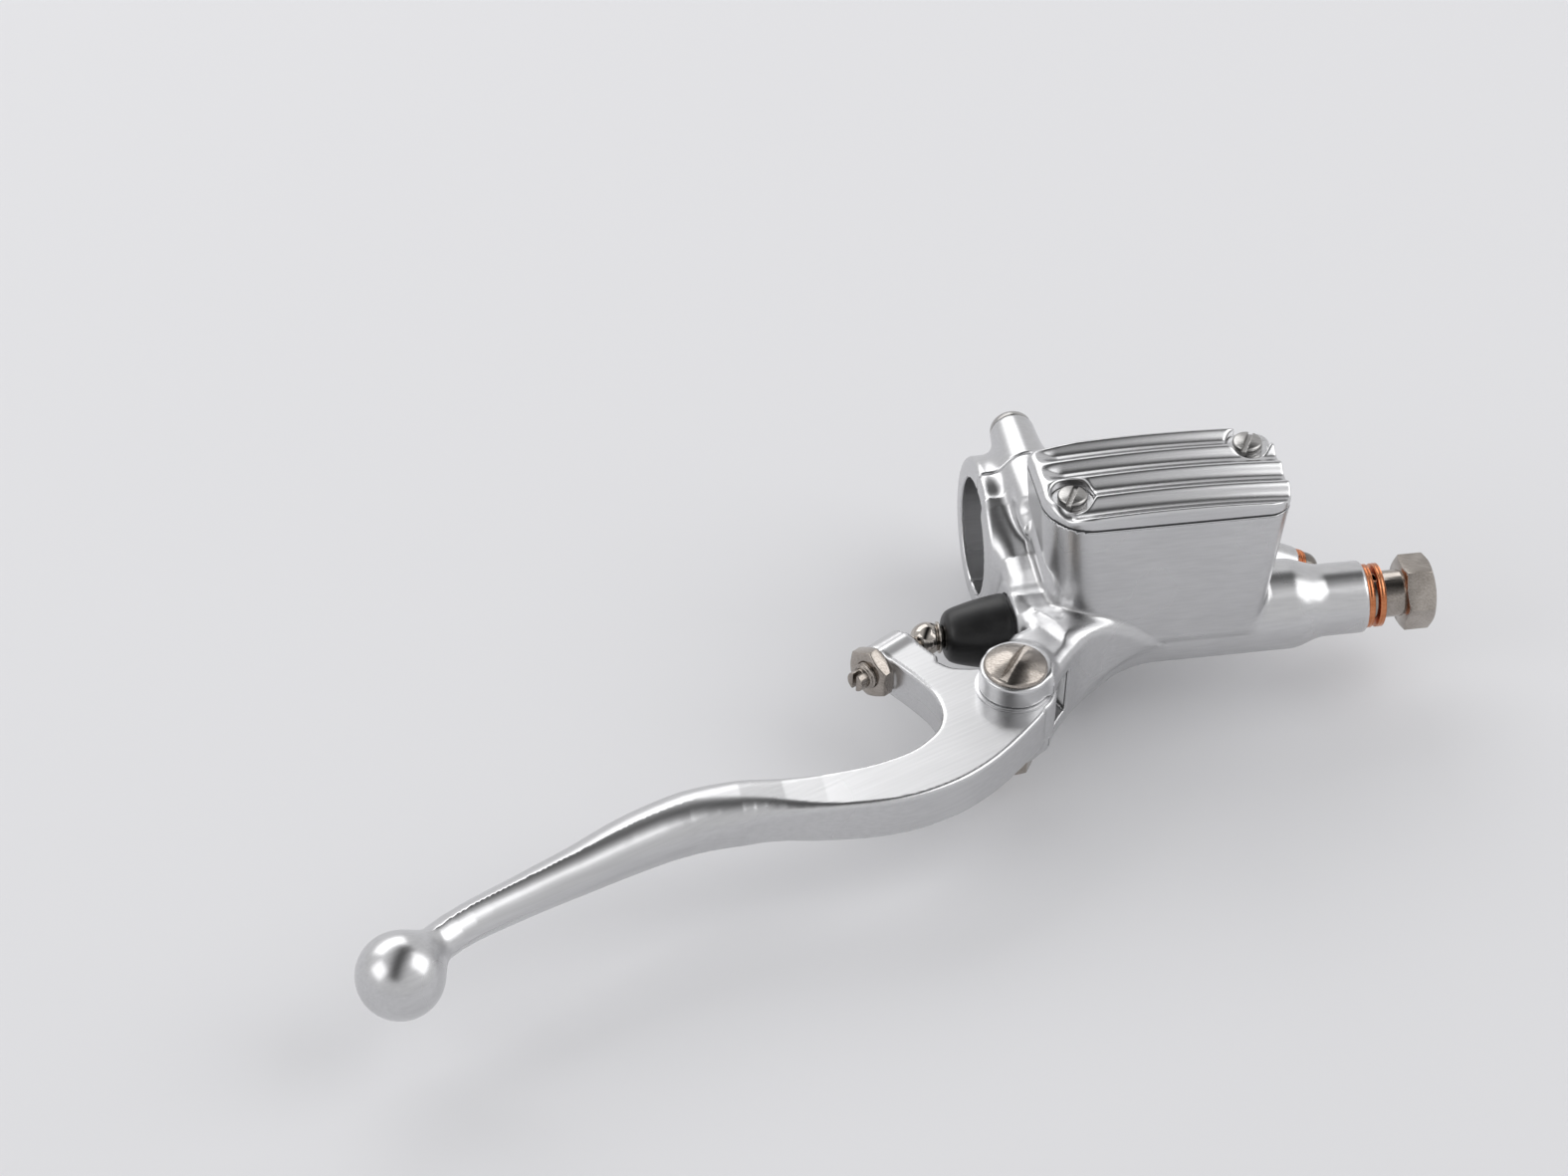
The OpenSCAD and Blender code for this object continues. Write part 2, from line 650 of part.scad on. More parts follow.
// Piston with a groove for each cup, a waist between its lands and a socket for the push rod's ball.
module piston() color("#b08d57") {
    x0 = stop_face;
    x1 = piston_end;
    land = bore_radius - 0.04;
    groove = 5;
    waist = 4;
    socket = push_ball_radius + 0.1;
    difference() {
        turned_on_bore() polygon([
            [0, x0], [land, x0], [land, x0 + 6], [groove, x0 + 6], [groove, x0 + 9.4], [land, x0 + 9.4],
            [land, x0 + 12], [waist, x0 + 13.5], [waist, x1 - 9], [land, x1 - 7.5], [land, x1 - 5],
            [nose_radius, x1 - 5], [nose_radius, x1], [0, x1]
        ]);
        on_bore(x0 - 1, socket_centre, socket, socket);
        translate([socket_centre, bore_y, 0]) sphere(r = socket);
    }
}

// Seal that keeps the fluid from the boot, in the piston's first groove.
module secondary_cup() color("#232325") turned_on_bore() {
    start = stop_face + 6;
    lip = bore_radius - 0.06;
    polygon([[5, start], [lip - 0.34, start], [lip, start + 1], [lip, start + 3.3], [5, start + 3.3]]);
}

// Pressure seal with a hollow lip, on the piston's nose.
module primary_cup() color("#232325") turned_on_bore() {
    start = piston_end - 5;
    lip = bore_radius - 0.06;
    polygon([
        [nose_radius, start], [lip - 0.24, start], [lip, start + 1], [lip, start + 3.6],
        [lip - 1.14, start + 3.6], [lip - 1.34, start + 2], [nose_radius, start + 2]
    ]);
}

// Flanged cap between the primary cup and the spring.
module spring_seat() color("#8f8d89") difference() {
    start = piston_end - 3;
    union() {
        on_bore(start, start + seat_flange, 5.4, 5.4);
        on_bore(start, piston_end + 1, 4.2, 4.2);
    }
    on_bore(start - 1, piston_end, nose_radius + fit_gap, nose_radius + fit_gap);
}

// Return spring as a row of coils joined by short wires.
module return_spring() color("#8a8c8f") {
    x0 = piston_end - 3 + seat_flange;
    x1 = bore_end;
    coils = 6;
    radius = 4.9;
    wire = spring_wire / 2;
    pitch = (x1 - x0 - spring_wire) / coils;
    for (i = [0 : coils]) translate([x0 + wire + i * pitch, bore_y, 0]) rotate([0, 90, 0])
        rotate_extrude() translate([radius, 0]) circle(r = wire);
    for (i = [0 : coils - 1]) on_coil(x0 + wire + i * pitch, pitch, radius, wire, i % 2 * 180);
}

// Short wire that carries the spring from one coil to the next.
module on_coil(x, pitch, radius, wire, turn) {
    translate([x, bore_y, 0]) rotate([turn, 0, 0]) translate([0, 0, radius]) rotate([0, 90, 0])
        cylinder(h = pitch, r = wire * 0.9);
}

// Hollow hydraulic bolt, backed out so that a banjo fits between its washers.
module banjo_bolt() color("#9a9894") difference() {
    head = outlet_end + 8.3;
    head_height = 6.4;
    end = bore_end + 6.5;
    union() {
        on_bore(end, head + 0.2, outlet_bolt_radius, outlet_bolt_radius);
        translate([head, bore_y, 0]) rotate([0, 90, 0]) rotate([0, 0, 20]) hex_bar(outlet_hex, head_height);
    }
    on_bore(end - 1, outlet_end + 4.5, 2.4, 2.4);
    translate([outlet_end + 3, bore_y, -8]) cylinder(h = 16, r = 1.2);
}

// Two copper washers with the banjo's gap between them.
module outlet_washers() color("#b87333")
for (start = [outlet_end, outlet_end + washer_thickness + 1]) difference() {
    hole = outlet_bolt_radius + 0.06;
    on_bore(start, start + washer_thickness, washer_diameter / 2, washer_diameter / 2);
    on_bore(start - 1, start + washer_thickness + 1, hole, hole);
}

// Blind plug with a domed head in the rear port.
module port_plug() color("#6f6d6a") at_port() {
    head = 2 * port_washer_thickness + 0.1;
    head_radius = 4.4;
    rim_height = 1.6;
    dome_rise = 3.2;
    translate([0, 0, 1 - port_hole_depth]) cylinder(h = port_hole_depth + head, r = port_bolt_radius);
    translate([0, 0, head]) rotate_extrude() polygon(concat(
        [[0, 0], [head_radius, 0], [head_radius, rim_height]],
        [for (i = [1 : 8]) [head_radius * cos(i * 10.5), rim_height + dome_rise * sin(i * 10.5)]],
        [[0, rim_height + dome_rise]]
    ));
}

// Copper washers under the plug's head.
module port_washers() color("#b87333") at_port() for (i = [0, 1])
    translate([0, 0, i * (port_washer_thickness + 0.05)]) difference() {
        cylinder(h = port_washer_thickness, r = port_washer_radius);
        translate([0, 0, -1]) cylinder(h = 4, r = port_bolt_radius + 0.06);
    }

body();
clamp_cap();
clamp_bolts();
reservoir_cover();
cover_gasket();
diaphragm();
cover_screws();
lever();
pivot_screw();
pivot_nut();
pivot_bush();
lever_shims();
adjuster_screw();
adjuster_locknut();
push_rod();
rubber_boot();
circlip();
stop_washer();
piston();
secondary_cup();
primary_cup();
spring_seat();
return_spring();
banjo_bolt();
outlet_washers();
port_plug();
port_washers();
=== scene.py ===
import math

import bmesh
import bpy
import numpy as np
from mathutils import Matrix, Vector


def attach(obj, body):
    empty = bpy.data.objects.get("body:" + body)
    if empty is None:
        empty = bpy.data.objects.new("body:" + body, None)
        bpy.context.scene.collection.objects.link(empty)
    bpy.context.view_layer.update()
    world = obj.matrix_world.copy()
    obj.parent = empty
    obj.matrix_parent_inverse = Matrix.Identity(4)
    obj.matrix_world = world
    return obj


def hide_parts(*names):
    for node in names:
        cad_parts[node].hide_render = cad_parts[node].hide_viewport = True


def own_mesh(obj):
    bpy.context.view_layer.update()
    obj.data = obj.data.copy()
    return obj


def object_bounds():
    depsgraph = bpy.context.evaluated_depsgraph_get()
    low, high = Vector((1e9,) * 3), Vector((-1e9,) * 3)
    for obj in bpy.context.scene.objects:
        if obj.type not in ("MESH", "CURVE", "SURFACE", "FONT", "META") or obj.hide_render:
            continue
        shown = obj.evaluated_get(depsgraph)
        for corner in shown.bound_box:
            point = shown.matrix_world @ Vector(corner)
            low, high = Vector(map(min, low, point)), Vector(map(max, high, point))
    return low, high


# Brake master cylinder with its lever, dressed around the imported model.
# Shapes are worked out in millimetres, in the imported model's own frame, and turned to metres as the mesh is made.

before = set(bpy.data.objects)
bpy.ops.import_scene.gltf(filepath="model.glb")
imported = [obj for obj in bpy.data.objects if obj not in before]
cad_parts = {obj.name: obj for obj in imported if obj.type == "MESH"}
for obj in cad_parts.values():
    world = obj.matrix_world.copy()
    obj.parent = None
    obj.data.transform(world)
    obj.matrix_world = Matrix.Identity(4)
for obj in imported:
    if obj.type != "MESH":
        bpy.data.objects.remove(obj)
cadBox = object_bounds()
mm = 0.001
print("frame loaded")


# Shapes

def roundJoin(a, b, radius):
    # both solids together; where they come within radius of each other the smaller distance sinks into a fillet
    h = np.maximum(radius - np.abs(a - b), 0) / radius
    return np.minimum(a, b) - h * h * radius / 4


def roundKeep(a, b, radius):
    # only what both solids share, with the edge between them rounded
    return -roundJoin(-a, -b, radius)


def roundCut(a, b, radius):
    # the first solid less the second, with the edge rounded
    return -roundJoin(-a, b, radius)


def ramp(value, start, end):
    # rises smoothly from 0 at start to 1 at end
    t = np.clip((value - start) / (end - start), 0, 1)
    return t * t * (3 - 2 * t)


def roundedRect(u, v, halfU, halfV, radius):
    # distance to a rectangle whose corners have that radius
    pu, pv = np.abs(u) - halfU + radius, np.abs(v) - halfV + radius
    return np.minimum(np.maximum(pu, pv), 0) + np.hypot(np.maximum(pu, 0), np.maximum(pv, 0)) - radius


def insidePolygon(x, y, points):
    # signed distance to a closed outline: nearest edge, negative inside by counting crossings
    nearest = np.full(np.broadcast(x, y).shape, 1e9)
    sign = np.ones(nearest.shape)
    for (ax, ay), (bx, by) in zip(points, np.roll(points, -1, axis=0)):
        ex, ey, wx, wy = bx - ax, by - ay, x - ax, y - ay
        t = np.clip((wx * ex + wy * ey) / (ex * ex + ey * ey), 0, 1)
        nearest = np.minimum(nearest, (wx - ex * t) ** 2 + (wy - ey * t) ** 2)
        above, below, left = y >= ay, y < by, ex * wy > ey * wx
        sign = np.where((above & below & left) | (~above & ~below & ~left), -sign, sign)
    return sign * np.sqrt(nearest)


def alongPath(x, y, path):
    # distance to an open line and how far along it the nearest point is, as a share of its points
    nearest, share = np.full(np.broadcast(x, y).shape, 1e9), np.zeros(np.broadcast(x, y).shape)
    for k, ((ax, ay), (bx, by)) in enumerate(zip(path[:-1], path[1:])):
        ex, ey, wx, wy = bx - ax, by - ay, x - ax, y - ay
        t = np.clip((wx * ex + wy * ey) / (ex * ex + ey * ey), 0, 1)
        d = (wx - ex * t) ** 2 + (wy - ey * t) ** 2
        share = np.where(d < nearest, k + t, share)
        nearest = np.minimum(nearest, d)
    return np.sqrt(nearest), share


def capsule(x, y, z, start, end, r0, r1):
    # a rod with round ends whose radius goes evenly from r0 to r1
    s, e = np.array(start, float), np.array(end, float)
    d = e - s
    t = np.clip(((x - s[0]) * d[0] + (y - s[1]) * d[1] + (z - s[2]) * d[2]) / (d @ d), 0, 1)
    gap = np.sqrt((x - s[0] - d[0] * t) ** 2 + (y - s[1] - d[1] * t) ** 2 + (z - s[2] - d[2] * t) ** 2)
    return gap - (r0 + (r1 - r0) * t)


def drum(x, y, z, start, direction, length, r0, r1, edge=0.3):
    # a flat-ended cylinder or cone from start along direction, with its edges rounded
    s, d = np.array(start, float), np.array(direction, float)
    d = d / np.linalg.norm(d)
    t = (x - s[0]) * d[0] + (y - s[1]) * d[1] + (z - s[2]) * d[2]
    gap = np.sqrt(np.maximum((x - s[0]) ** 2 + (y - s[1]) ** 2 + (z - s[2]) ** 2 - t * t, 0))
    return roundKeep(gap - (r0 + (r1 - r0) * t / length), np.maximum(-t, t - length), edge)


def arc(centre, radius, first, last, steps):
    turn = np.radians(np.linspace(first, last, steps + 1))
    return np.stack([centre[0] + radius * np.cos(turn), centre[1] + radius * np.sin(turn)], 1)


# Meshes

def meshObject(name, points, faces, normals=None, attributes=None):
    mesh = bpy.data.meshes.new(name)
    mesh.from_pydata(points * mm, [], faces.tolist())
    mesh.polygons.foreach_set("use_smooth", np.ones(len(faces), bool))
    for key, values in (attributes or {}).items():
        mesh.attributes.new(key, "FLOAT", "POINT").data.foreach_set("value", values.astype(np.float32))
    if normals is not None:
        mesh.normals_split_custom_set_from_vertices(normals)
    mesh.update()
    piece = bpy.data.objects.new(name, mesh)
    bpy.context.scene.collection.objects.link(piece)
    return piece


def skin(name, field, low, high, cell):
    # The surface where field is 0: one point in each grid cell that the surface crosses, a quad round each crossed
    # grid edge, and then each point is moved along the field's slope until the field there is 0.
    axes = [np.arange(low[k], high[k] + cell, cell) for k in range(3)]
    shape = [len(a) for a in axes]
    values = np.broadcast_to(field(axes[0][:, None, None], axes[1][None, :, None], axes[2][None, None, :]), shape)
    cellIds, crossings, quads = [], [], []
    for axis in range(3):
        head, tail = [slice(None)] * 3, [slice(None)] * 3
        head[axis], tail[axis] = slice(None, -1), slice(1, None)
        first, second = values[tuple(head)], values[tuple(tail)]
        crossed = (first < 0) != (second < 0)
        index, a, b = np.argwhere(crossed), first[crossed], second[crossed]
        point = index.astype(float)
        point[:, axis] += a / (a - b)
        side, up = (axis + 1) % 3, (axis + 2) % 3
        ring = []
        for i, j in ((-1, -1), (0, -1), (0, 0), (-1, 0)):
            corner = index.copy()
            corner[:, side] += i
            corner[:, up] += j
            ring.append(np.ravel_multi_index(corner.T, shape))
            cellIds.append(ring[-1])
            crossings.append(point)
        ring = np.stack(ring, 1)
        quads.append(np.where((a < 0)[:, None], ring, ring[:, ::-1]))
    used, order = np.unique(np.concatenate(cellIds), return_inverse=True)
    crossings, count = np.concatenate(crossings), np.bincount(order)
    points = np.stack([np.bincount(order, crossings[:, k]) / count * cell + low[k] for k in range(3)], 1)
    for turn in range(4):
        value, slope = slopeOf(field, points, 0.04)
        step = slope * (value / np.maximum((slope ** 2).sum(1), 0.05))[:, None]
        size = np.linalg.norm(step, axis=1, keepdims=True)
        points -= step * np.minimum(1, 0.5 * cell / np.maximum(size, 1e-9))
    slope = slopeOf(field, points, 0.08)[1]
    around = sum(field(*(points + offset).T) for offset in np.vstack([np.eye(3), -np.eye(3)]) * 0.6)
    bend = np.clip((around - 6 * field(*points.T)) / 0.36, -3, 3)
    normals = slope / np.maximum(np.linalg.norm(slope, axis=1, keepdims=True), 1e-9)
    faces = np.searchsorted(used, np.concatenate(quads))
    print(f"{name}: {len(points)} points")
    return meshObject(name, points, faces, normals, {"bend": bend})


def slopeOf(field, points, reach):
    value = field(*points.T)
    slope = np.stack([(field(*(points + s).T) - field(*(points - s).T)) for s in np.eye(3) * reach], 1)
    return value, slope / (2 * reach)


def sweepGrid(name, grid, closeRows=False, capEnds=True):
    # A grid of points, rows along the piece and columns round it, joined into quads; the ends are closed by fans.
    rows, columns = grid.shape[:2]
    points = grid.reshape(-1, 3)
    i = np.arange(rows if closeRows else rows - 1)[:, None]
    j = np.arange(columns)[None, :]
    i, j = np.broadcast_arrays(i, j)
    ahead, beside = (i + 1) % rows, (j + 1) % columns
    faces = np.stack([i * columns + j, i * columns + beside, ahead * columns + beside, ahead * columns + j], -1)
    faces = faces.reshape(-1, 4)
    allFaces = faces.tolist()
    if capEnds and not closeRows:
        points = np.vstack([points, grid[0].mean(0), grid[-1].mean(0)])
        ring = np.arange(columns)
        after = (ring + 1) % columns
        first, last, lastRing = rows * columns, rows * columns + 1, (rows - 1) * columns
        allFaces += np.stack([np.full(columns, first), after, ring], 1).tolist()
        allFaces += np.stack([np.full(columns, last), lastRing + ring, lastRing + after], 1).tolist()
    mesh = bpy.data.meshes.new(name)
    mesh.from_pydata(points * mm, [], allFaces)
    mesh.polygons.foreach_set("use_smooth", np.ones(len(allFaces), bool))
    mesh.update()
    piece = bpy.data.objects.new(name, mesh)
    bpy.context.scene.collection.objects.link(piece)
    return piece


def turned(name, profile, origin, axis, around=72):
    # A profile of (radius, distance along the axis) carried round the axis; a radius of 0 closes an end.
    axis = np.array(axis, float) / np.linalg.norm(axis)
    side = np.cross(axis, (0, 0, 1) if abs(axis[2]) < 0.9 else (0, 1, 0))
    side /= np.linalg.norm(side)
    other = np.cross(axis, side)
    turn = np.linspace(0, 2 * math.pi, around, endpoint=False)
    profile = np.array(profile, float)
    ring = side * np.cos(turn)[:, None] + other * np.sin(turn)[:, None]
    grid = np.array(origin, float) + profile[:, 1, None, None] * axis + profile[:, 0, None, None] * ring
    piece = sweepGrid(name, grid, capEnds=False, closeRows=bool(np.allclose(profile[0], profile[-1])))
    return tidyMesh(piece)


def tidyMesh(piece):
    # merges doubled points at seams and poles, then turns every face outwards
    work = bmesh.new()
    work.from_mesh(piece.data)
    bmesh.ops.remove_doubles(work, verts=work.verts, dist=1e-6)
    bmesh.ops.dissolve_degenerate(work, dist=1e-7, edges=work.edges)
    bmesh.ops.recalc_face_normals(work, faces=work.faces)
    work.to_mesh(piece.data)
    work.free()
    piece.data.polygons.foreach_set("use_smooth", np.ones(len(piece.data.polygons), bool))
    return piece


def keepEdges(piece, angle=35):
    # shades smooth except across edges sharper than angle
    modifier = piece.modifiers.new("edges", "EDGE_SPLIT")
    modifier.split_angle = math.radians(angle)
    return piece


# Materials

def linear(hexColour):
    # sRGB hex to the linear values that Blender works in
    srgb = np.array([int(hexColour[k:k + 2], 16) / 255 for k in (1, 3, 5)])
    value = np.where(srgb <= 0.04045, srgb / 12.92, ((srgb + 0.055) / 1.055) ** 2.4)
    return (*value.tolist(), 1)


def addNode(tree, kind, settings=None, values=None, links=None):
    node = tree.nodes.new(kind)
    for key, value in (settings or {}).items():
        setattr(node, key, value)
    for key, value in (values or {}).items():
        node.inputs[key].default_value = value
    for key, source in (links or {}).items():
        tree.links.new(source, node.inputs[key])
    return node


def emptyMaterial(name):
    material = bpy.data.materials.new(name)
    material.use_nodes = True
    material.node_tree.nodes.clear()
    return material, material.node_tree


def metal(name, colour, shade, roughness, spread, grain, turn=(0, 0, 0), bump=0.12, patch=14, wearAndHollowShade=0.0):
    # colour and shade are the light and dark tones, grain is the brush marks' length and width in mm,
    # patch the size in mm of the larger uneven areas, and the last argument how much the edges are rubbed brighter;
    # when it is set, hollows also get painted shade.
    material, tree = emptyMaterial(name)
    place = addNode(tree, "ShaderNodeTexCoord").outputs["Object"]
    along = addNode(tree, "ShaderNodeMapping", values={"Rotation": turn}, links={"Vector": place}).outputs[0]
    stretched = addNode(tree, "ShaderNodeMapping", values={
        "Scale": (1000 / grain[0], 1000 / grain[1], 1000 / grain[1])}, links={"Vector": along}).outputs[0]
    marks = addNode(tree, "ShaderNodeTexNoise", values={"Scale": 1, "Detail": 1, "Roughness": 0.5},
                    links={"Vector": stretched}).outputs[0]
    areas = addNode(tree, "ShaderNodeTexNoise", values={"Scale": 1000 / patch, "Detail": 1.5, "Roughness": 0.5},
                    links={"Vector": place}).outputs[0]
    blend = addNode(tree, "ShaderNodeMath", {"operation": "ADD"}, links={0: marks, 1: areas}).outputs[0]
    tone = addNode(tree, "ShaderNodeMapRange", values={"From Min": 0.7, "From Max": 1.3, "To Min": 0, "To Max": 1},
                   links={"Value": blend}).outputs[0]
    surface = addNode(tree, "ShaderNodeMix", {"data_type": "RGBA"}, {6: linear(shade), 7: linear(colour)},
                      {0: tone}).outputs[2]
    rough01 = addNode(tree, "ShaderNodeMapRange", values={
        "From Min": 0.3, "From Max": 0.7, "To Min": roughness + spread, "To Max": roughness - spread},
        links={"Value": areas}).outputs[0]
    if wearAndHollowShade:
        # edges that hands and cloths rub are brighter and smoother; inside corners are painted darker grey, painted
        # shade standing in for the shade that falls in creases
        bend = addNode(tree, "ShaderNodeAttribute", {"attribute_name": "bend"}).outputs["Fac"]
        rubbed = addNode(tree, "ShaderNodeMapRange", values={"From Min": 0.25, "From Max": 1.6, "To Min": 0, "To Max": wearAndHollowShade},
                         links={"Value": bend}).outputs[0]
        # painted shade: this mask grows where the surface is hollow, that is where bend is below zero
        hollow = addNode(tree, "ShaderNodeMapRange", values={"From Min": -0.2, "From Max": -1.6, "To Min": 0, "To Max": 0.55},
                         links={"Value": bend}).outputs[0]
        surface = addNode(tree, "ShaderNodeMix", {"data_type": "RGBA"}, {7: linear("#e9eaeb")},
                          {0: rubbed, 6: surface}).outputs[2]
        # painted shade in hollows: the colour goes towards dark grey #6d6c6a there
        surface = addNode(tree, "ShaderNodeMix", {"data_type": "RGBA"}, {7: linear("#6d6c6a")},
                          {0: hollow, 6: surface}).outputs[2]
        rough01 = addNode(tree, "ShaderNodeMath", {"operation": "MULTIPLY_ADD"}, {1: -0.12}, {0: rubbed, 2: rough01}).outputs[0]
    lift = addNode(tree, "ShaderNodeBump", values={"Strength": bump, "Distance": 0.00004}, links={"Height": marks}).outputs[0]
    shader = addNode(tree, "ShaderNodeBsdfPrincipled", values={"Metallic": 1.0},
                     links={"Base Color": surface, "Roughness": rough01, "Normal": lift})
    addNode(tree, "ShaderNodeOutputMaterial", links={"Surface": shader.outputs[0]})
    return material


def rubber(name, colour, roughness, bump):
    # Moulded nitrile rubber: near black, a soft wide sheen, a fine tooth from the mould and pale dust in patches.
    material, tree = emptyMaterial(name)
    place = addNode(tree, "ShaderNodeTexCoord").outputs["Object"]
    tooth = addNode(tree, "ShaderNodeTexNoise", values={"Scale": 2600, "Detail": 2}, links={"Vector": place}).outputs[0]
    dust = addNode(tree, "ShaderNodeTexNoise", values={"Scale": 160, "Detail": 6, "Roughness": 0.7},
                   links={"Vector": place}).outputs[0]
    thin = addNode(tree, "ShaderNodeMapRange", values={"From Min": 0.5, "From Max": 0.8, "To Min": 0, "To Max": 0.35},
                   links={"Value": dust}).outputs[0]
    surface = addNode(tree, "ShaderNodeMix", {"data_type": "RGBA"}, {6: linear(colour), 7: linear("#3a3a3b")},
                      {0: thin}).outputs[2]
    matt = addNode(tree, "ShaderNodeMapRange", values={"To Min": roughness - 0.08, "To Max": roughness + 0.12},
                   links={"Value": dust}).outputs[0]
    lift = addNode(tree, "ShaderNodeBump", values={"Strength": bump, "Distance": 0.00006}, links={"Height": tooth}).outputs[0]
    shader = addNode(tree, "ShaderNodeBsdfPrincipled", values={"IOR": 1.52},
                     links={"Base Color": surface, "Roughness": matt, "Normal": lift})
    addNode(tree, "ShaderNodeOutputMaterial", links={"Surface": shader.outputs[0]})
    return material


# Cast aluminium, satin brushed by hand: pale and neutral, soft streaked reflections, slightly brighter along rubbed
# edges, painted shade in the hollows. The brush marks are drawn about twice as wide as real ones so that they show.
castAluminium = metal("satinCastAluminium", "#d0d0d1", "#c6c6c7", 0.28, 0.015, (5, 0.6), (0, 0, 0), 0.03, 22, 0.2)
coverAluminium = metal("satinCoverAluminium", "#d1d1d2", "#c7c7c8", 0.26, 0.015, (14, 0.55), (0, 0, 0), 0.035, 24, 0.2)
leverAluminium = metal("satinLeverAluminium", "#d2d2d3", "#c8c8c9", 0.28, 0.015, (16, 0.6), (0, 0, -0.40), 0.035, 26, 0.2)
# Stainless steel bar, turned: warmer and darker than the casting, fine tool marks, sharper reflections.
turnedSteel = metal("turnedStainlessSteel", "#b8b1aa", "#948d86", 0.21, 0.05, (3, 0.22), (0, 0, 0.6), 0.14, 5)
brightSteel = metal("satinStainlessSteel", "#bdbcba", "#a3a19f", 0.26, 0.05, (3, 0.22), (0, 0, 0.6), 0.10, 5)
darkSteel = metal("oiledSteelPlug", "#8d8781", "#5f5b57", 0.24, 0.06, (3, 0.25), (0.4, 0, 0), 0.12, 4)
polishedSteel = metal("polishedBallSteel", "#c2bcb5", "#a39d97", 0.09, 0.03, (2, 0.2), (0, 0.3, 0), 0.05, 3)
springSteel = metal("drawnSpringSteel", "#8b8c8f", "#6b6c6f", 0.28, 0.05, (4, 0.2), (0, 0, 0), 0.08, 5)
# Annealed copper rings: orange-pink, lightly dulled, with turned grooves on their rims.
annealedCopper = metal("annealedCopper", "#d9936a", "#b86f47", 0.24, 0.07, (2.5, 0.2), (0, 0, 0), 0.16, 2.5)
sinteredBronze = metal("sinteredBronze", "#b59a62", "#8f7745", 0.36, 0.06, (1, 0.5), (0, 0, 0), 0.2, 3)
anodisedAluminium = metal("hardAnodisedAluminium", "#a58f63", "#84704a", 0.34, 0.05, (4, 0.2), (0, 0, 0), 0.08, 6)
bootRubber = rubber("mouldedNitrileRubber", "#0b0b0c", 0.38, 0.22)
sealRubber = rubber("sealNitrileRubber", "#1a1a1c", 0.55, 0.2)
print("materials ready")


# Reservoir, cylinder and ears: one casting

bodyShape = dict(boreY=-31.0, housingRadius=9.6, outletRadius=7.7, neckStart=50.5, neckLength=8.0,
                 start=-9.3, end=67.2, barRadius=12.7, ringRadius=17.2, joint=33.5, draft=3.2,
                 pivot=(-13.8, -53.7), earRadius=7.4, earTop=10.5, slotHalf=5.5, cell=0.56)
screwSpots = ((1.3, -32.0), (41.5, -20.0))


def reservoirPlan(x, y, z, inset=0.0):
    # distance to the reservoir's outline at height z: wide round corner at front left, smaller ones elsewhere
    u, v = x - 20.85, y + 28.2
    halfU = 25.85 - inset - bodyShape["draft"] * np.clip((bodyShape["joint"] - z) / 31.5, 0, 1)
    corner = np.where(v < 0, np.where(u < 0, 10.0, 5.5), 3.0) - inset
    return roundedRect(u, v, halfU, 12.8 - inset, np.maximum(corner, 0.8))


